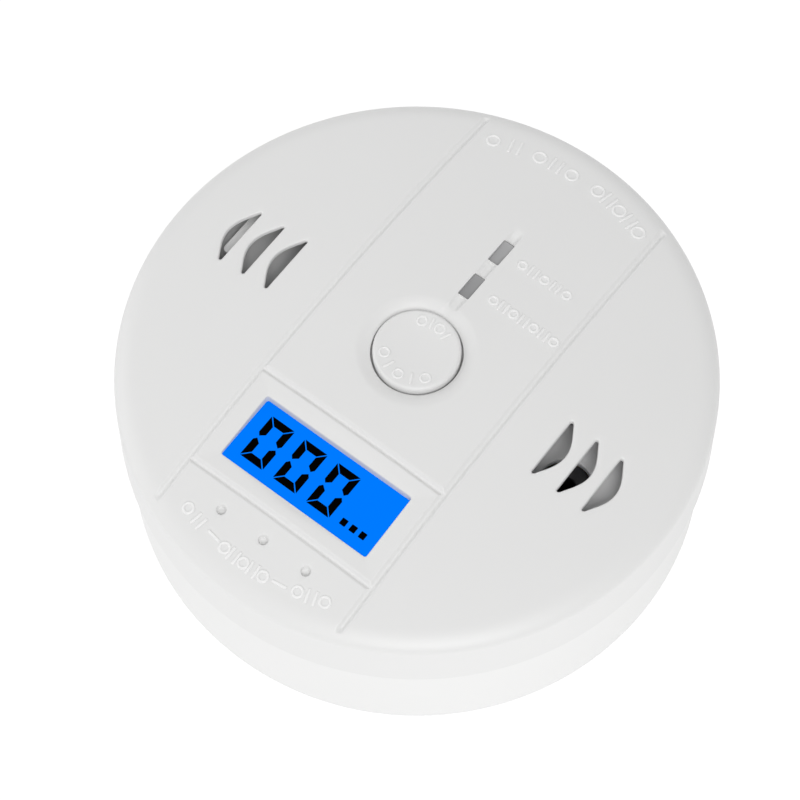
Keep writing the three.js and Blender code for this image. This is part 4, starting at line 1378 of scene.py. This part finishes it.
class ALARM_OT_housing(bpy.types.Operator):
    """Builds the head's rear housing with its battery pocket, posts and hooks"""

    bl_idname = "alarm.housing"
    bl_label = "Rear housing"

    def execute(self, context):
        pocket_x, pocket_y, ceiling = 23.6 * MM, 28.7 * MM, 18 * MM
        wall, roof, back = 1.5 * MM, 1.2 * MM, 3 * MM
        rim = 42.0 * MM
        inner = (-pocket_x, pocket_x, -pocket_y, pocket_y)
        outer = (-pocket_x - wall, pocket_x + wall, -pocket_y - wall, pocket_y + wall)
        top, bottom = Sheet(rim, 160), Sheet(rim, 160)
        for sheet, zone in ((top, outer), (bottom, inner)):
            for grow in (0.0, ZONE_STEP):
                sheet.loop(grown_zone(zone, grow, 0.8 * MM, 5))
            sheet.fill(4 * MM)
        plate = pierced(top, lambda x, y: ceiling + roof if within(outer, x, y) else back + 2 * MM,
                        bottom, lambda x, y: ceiling if within(inner, x, y) else back)
        profile = [(42.0, 3), (43.6, 3)] + arc((43.6, 3.8), 0.8, -90, 0, 5) + [(44.4, 21.3), (46.7, 21.3)]
        profile += [(46.9, 21.5), (46.9, 23.0), (46.7, 23.2), (42.8, 23.2), (42.6, 23.0), (42.6, 5.4)]
        bowl = lathe(in_mm(profile + [(42.2, 5), (42.0, 5)]), 160)
        screw_post = [(1.8, 17), (3.1, 17), (3.1, 4.5), (4.2, 4.5), (4.2, 22.9), (3.9, 23.2), (1.8, 23.2)]
        board_post = [(1.5, 11), (1.5, 20.5), (1.7, 20.7), (2.9, 20.7), (3.2, 20.4), (3.3, 4.6)]
        board_post += [(0, 4.6), (0, 11)]
        posts = [lathe(in_mm(screw_post + screw_post[:1]), 40, at) for at in HOUSING_SCREWS]
        posts += [lathe(in_mm(board_post + board_post[:1]), 32, at) for at in BOARD_SCREWS]
        for angle in LUG_ANGLES:
            hook = sector_outline(43.4 * MM, 46.4 * MM, angle - 8, angle + 8)
            posts.append(slab(hook, 8.6 * MM, 11.6 * MM, 0.3 * MM))
        shown("housing", joined(plate, bowl, *posts), "shell_white", "rear_housing", sharp=40)
        return {"FINISHED"}


class ALARM_OT_cells(bpy.types.Operator):
    """Fits the three cells, their springs and contact plates"""

    bl_idname = "alarm.cells"
    bl_label = "Batteries"

    def execute(self, context):
        for i in (1, 2, 3):
            sign = -1 if i == 2 else 1
            low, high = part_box(f"battery_{i}")
            x, z = middle(low, high)[0], (low.z + high.z) / 2
            start = low.y if sign > 0 else high.y
            r, tall = (high.x - low.x) / 2 / MM, (high.y - low.y) / MM
            profile = [(0, 0), (4.4, 0), (4.6, 0.15), (r - 0.9, 0.15), (r - 0.3, 0.35), (r, 0.7)]
            profile += [(r, tall - 2.2), (r - 0.15, tall - 1.75), (r - 0.5, tall - 1.4)]
            profile += [(r - 1.4, tall - 1.45), (3.4, tall - 1.5), (2.9, tall - 1.4), (2.7, tall - 1.1)]
            profile += [(2.7, tall - 0.3)]
            verts, faces = lathe(in_mm(profile + [(2.4, tall), (0, tall)]), 64)
            lying = [(x + vx, start + sign * vz, z + vy) for vx, vy, vz in verts]
            shown(f"cell_{i}", (lying, faces), "cell_jacket", f"battery_{i}")
            node = f"battery_spring_{i}"
            low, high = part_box(node)
            wire, tip, turns, steps = 0.3 * MM, 2.2 * MM, 2.5, 120
            wide = (high.x - low.x) / 2 - wire
            start = low.y if sign > 0 else high.y
            run = high.y - low.y - 2 * wire
            points = []
            for t in (k / steps for k in range(steps + 1)):
                coil = wide + (tip - wide) * t
                angle = TURN * turns * t
                points.append((middle(low, high)[0] + coil * math.cos(angle),
                               start + sign * (wire + run * t), z + coil * math.sin(angle)))
            shown(f"cell_spring_{i}", tube(points, wire, 8), "spring_steel", node, sharp=60)
        for node in ("contact_positive", "contact_negative", "contact_bridge_top", "contact_bridge_bottom"):
            softened(node + "_plate", node, 0.12 * MM, "spring_steel")
        for node in ("lead_red", "lead_black"):
            softened(node + "_wire", node, 0.05 * MM, node, sharp=70)
        return {"FINISHED"}


class ALARM_OT_board(bpy.types.Operator):
    """Makes the circuit board, its pads and the parts that stand on it"""

    bl_idname = "alarm.board"
    bl_label = "Circuit board"

    def execute(self, context):
        softened("board", "circuit_board", 0.12 * MM, "board_green")
        pad = lathe(in_mm([(0.3, 0), (0.75, 0), (0.75, 0.04), (0.6, 0.08), (0.3, 0.08), (0.3, 0)]), 16)
        grid = array_tree("pads in rows", on_grid)
        tin = finish("can_steel")
        board_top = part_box("circuit_board")[1].z
        made = [
            arrayed(name, pad, grid, Count=count, Rows=rows, First=first * MM, Step=step * MM,
                    Across=across * MM, Row_step=row_step * MM, Dome_height=board_top, Material=tin)
            for name, count, rows, first, step, across, row_step in (
                ("pads_a", 8, 1, -9.1, 2.6, -14.6, 0), ("pads_b", 6, 2, -6, 2.4, 30, 2.6),
                ("pads_c", 5, 2, 22, 2.4, 15, 3.2),
            )
        ]
        place(merged("board_pads", made), HEAD, "can_steel", tin)
        for node, slot, bevel in (
            ("mcu_chip", "black_plastic", 0.1), ("amplifier_chip", "black_plastic", 0.1),
            ("crystal", "can_steel", 0.3), ("inductor", "ferrite", 0.15),
            ("capacitor_large", "capacitor_sleeve", 0.15), ("capacitor_small", "capacitor_sleeve", 0.12),
            ("switch_body", "black_plastic", 0.15),
        ):
            softened(node + "_part", node, bevel * MM, slot)
        softened("switch_plunger", "switch_stem", 0.15 * MM, "black_plastic", STEM)
        return {"FINISHED"}


class ALARM_OT_screws(bpy.types.Operator):
    """Turns the screws that hold the housing and the board, each with a recess and a thread"""

    bl_idname = "alarm.screws"
    bl_label = "Screws"

    def execute(self, context):
        for node in [f"housing_screw_{i}" for i in range(1, 5)] + [f"board_screw_{i}" for i in range(1, 4)]:
            low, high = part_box(node)
            head, tall = (high.x - low.x) / 2 / MM, (high.z - low.z) / MM
            shank, cap, pitch = head * 0.52, 1.9, 0.9
            profile = [(0, 0.45), (head * 0.36, 0.4), (head * 0.42, 0.05), (head * 0.7, 0.08)]
            profile += [(head * 0.93, 0.35), (head, 0.8), (head, cap - 0.1), (head - 0.1, cap), (shank, cap)]
            z = cap + 0.6
            while z < tall - 1.6:
                profile += [(shank, z), (shank * 1.16, z + pitch * 0.35), (shank, z + pitch * 0.7)]
                z += pitch
            profile += [(shank * 0.85, tall - 0.9), (0, tall)]
            if node.startswith("board"):  # these are driven in from above
                profile = [(r, tall - z) for r, z in profile]
            shown(node + "_turned", lathe(in_mm(profile, low.z), 32, middle(low, high)), "screw_steel", node)
        return {"FINISHED"}


def towards(azimuth, elevation):
    """Direction from the object to a place at this azimuth (from -Y) and elevation, in degrees."""
    a, e = math.radians(azimuth), math.radians(elevation)
    return Vector((math.sin(a) * math.cos(e), -math.cos(a) * math.cos(e), math.sin(e)))


class ALARM_OT_stage(bpy.types.Operator):
    """Sets the floor, the lights and the camera"""

    bl_idname = "alarm.stage"
    bl_label = "Stage"

    def execute(self, context):
        st = settings("stage")
        scene = context.scene
        floor = new_object("floor", bpy.data.meshes.new("floor"))
        reach = 6.0
        corners = [(-reach, -reach, 0), (reach, -reach, 0), (reach, reach, 0), (-reach, reach, 0)]
        floor.data.from_pydata(corners, [], [(0, 1, 2, 3)])
        floor.location.z = -0.2 * MM
        ground = Surface("white floor", (0.12, 0.12, 0.12), 0.9, Emission_Color=(1.0, 1.0, 1.0, 1.0),
                         Emission_Strength=st.floor, Specular_IOR_Level=0.0)
        floor.data.materials.append(ground.material)
        world = bpy.data.worlds.new("studio")
        scene.world = world
        world.use_nodes = True
        nodes, links = world.node_tree.nodes, world.node_tree.links
        where = nodes.new("ShaderNodeTexCoord")
        split = nodes.new("ShaderNodeSeparateXYZ")
        links.new(where.outputs["Generated"], split.inputs[0])
        fade = nodes.new("ShaderNodeMapRange")
        fade.interpolation_type = "SMOOTHSTEP"
        for i, value in enumerate((0.0, 0.9, 0.62, 1.15), start=1):
            fade.inputs[i].default_value = value
        links.new(split.outputs[2], fade.inputs[0])
        strength = nodes.new("ShaderNodeMath")
        strength.operation = "MULTIPLY"
        strength.inputs[1].default_value = st.sky
        links.new(fade.outputs[0], strength.inputs[0])
        background = nodes["Background"]
        background.inputs[0].default_value = (1, 1, 1, 1)
        links.new(strength.outputs[0], background.inputs[1])

        for name, azimuth, elevation, away, size, power in (
            ("key softbox", 45.0, 48.0, 2.0, 1.1, 19.2),
            ("fill softbox", -72.0, 22.0, 1.3, 1.0, 4.2),
            ("back softbox", 213.0, 35.0, 1.3, 1.0, 1.3),
        ):
            light = bpy.data.lights.new(name, "AREA")
            light.shape, light.size, light.energy = "SQUARE", size, power
            lamp = new_object(name, light)
            back = towards(azimuth, elevation)
            lamp.location = back * away
            lamp.rotation_mode = "QUATERNION"
            lamp.rotation_quaternion = (-back).to_track_quat("-Z", "Y")

        back = towards(st.azimuth, st.elevation)
        right = towards(st.azimuth + 90, 0)
        up = back.cross(right)
        roll = math.radians(st.roll)
        right, up = right * math.cos(roll) + up * math.sin(roll), up * math.cos(roll) - right * math.sin(roll)
        aim = (-back + right * st.offset[0] + up * st.offset[1]).normalized()
        side = aim.cross(up).normalized()
        above = side.cross(aim)
        camera = new_object("camera", bpy.data.cameras.new("camera"))
        camera.data.lens, camera.data.sensor_width = st.lens, 36.0
        camera.data.clip_start, camera.data.clip_end = 0.01, 20.0
        turn = Matrix((side, above, -aim)).transposed().to_4x4()
        camera.matrix_world = Matrix.Translation(back * st.distance) @ turn
        scene.camera = camera
        scene.view_settings.view_transform = "Standard"
        return {"FINISHED"}


class ALARM_PT_sidebar(bpy.types.Panel):
    """Lists the alarm's steps in order"""

    bl_idname = "ALARM_PT_sidebar"
    bl_label = "Carbon monoxide alarm"
    bl_space_type = "VIEW_3D"
    bl_region_type = "UI"
    bl_category = "Alarm"

    def draw(self, context):
        for operator in OPERATORS:
            self.layout.operator(operator.bl_idname)
        for name in GROUPS:
            group = getattr(context.scene, name)
            box = self.layout.box()
            for key in type(group).__annotations__:
                box.prop(group, key)


OPERATORS = (
    ALARM_OT_base, ALARM_OT_housing, ALARM_OT_cells, ALARM_OT_board, ALARM_OT_screws, ALARM_OT_sensor,
    ALARM_OT_sounder, ALARM_OT_lights, ALARM_OT_display, ALARM_OT_button, ALARM_OT_cover, ALARM_OT_relief,
    ALARM_OT_stage,
)


def register():
    for group in GROUPS.values():
        bpy.utils.register_class(group)
    for operator in OPERATORS:
        bpy.utils.register_class(operator)
    bpy.utils.register_class(ALARM_PT_sidebar)
    for name, group in GROUPS.items():
        setattr(bpy.types.Scene, name, PointerProperty(type=group))


def unregister():
    for name in GROUPS:
        delattr(bpy.types.Scene, name)
    bpy.utils.unregister_class(ALARM_PT_sidebar)
    for made in OPERATORS[::-1] + tuple(GROUPS.values())[::-1]:
        bpy.utils.unregister_class(made)


def main():
    register()
    bpy.ops.alarm.base()
    bpy.ops.alarm.housing()
    bpy.ops.alarm.cells()
    bpy.ops.alarm.board()
    bpy.ops.alarm.screws()
    bpy.ops.alarm.sensor()
    bpy.ops.alarm.sounder()
    bpy.ops.alarm.lights()
    bpy.ops.alarm.display()
    bpy.ops.alarm.button()
    bpy.ops.alarm.cover()
    bpy.ops.alarm.relief()
    bpy.ops.alarm.stage()


if __name__ == "__main__":
    main()
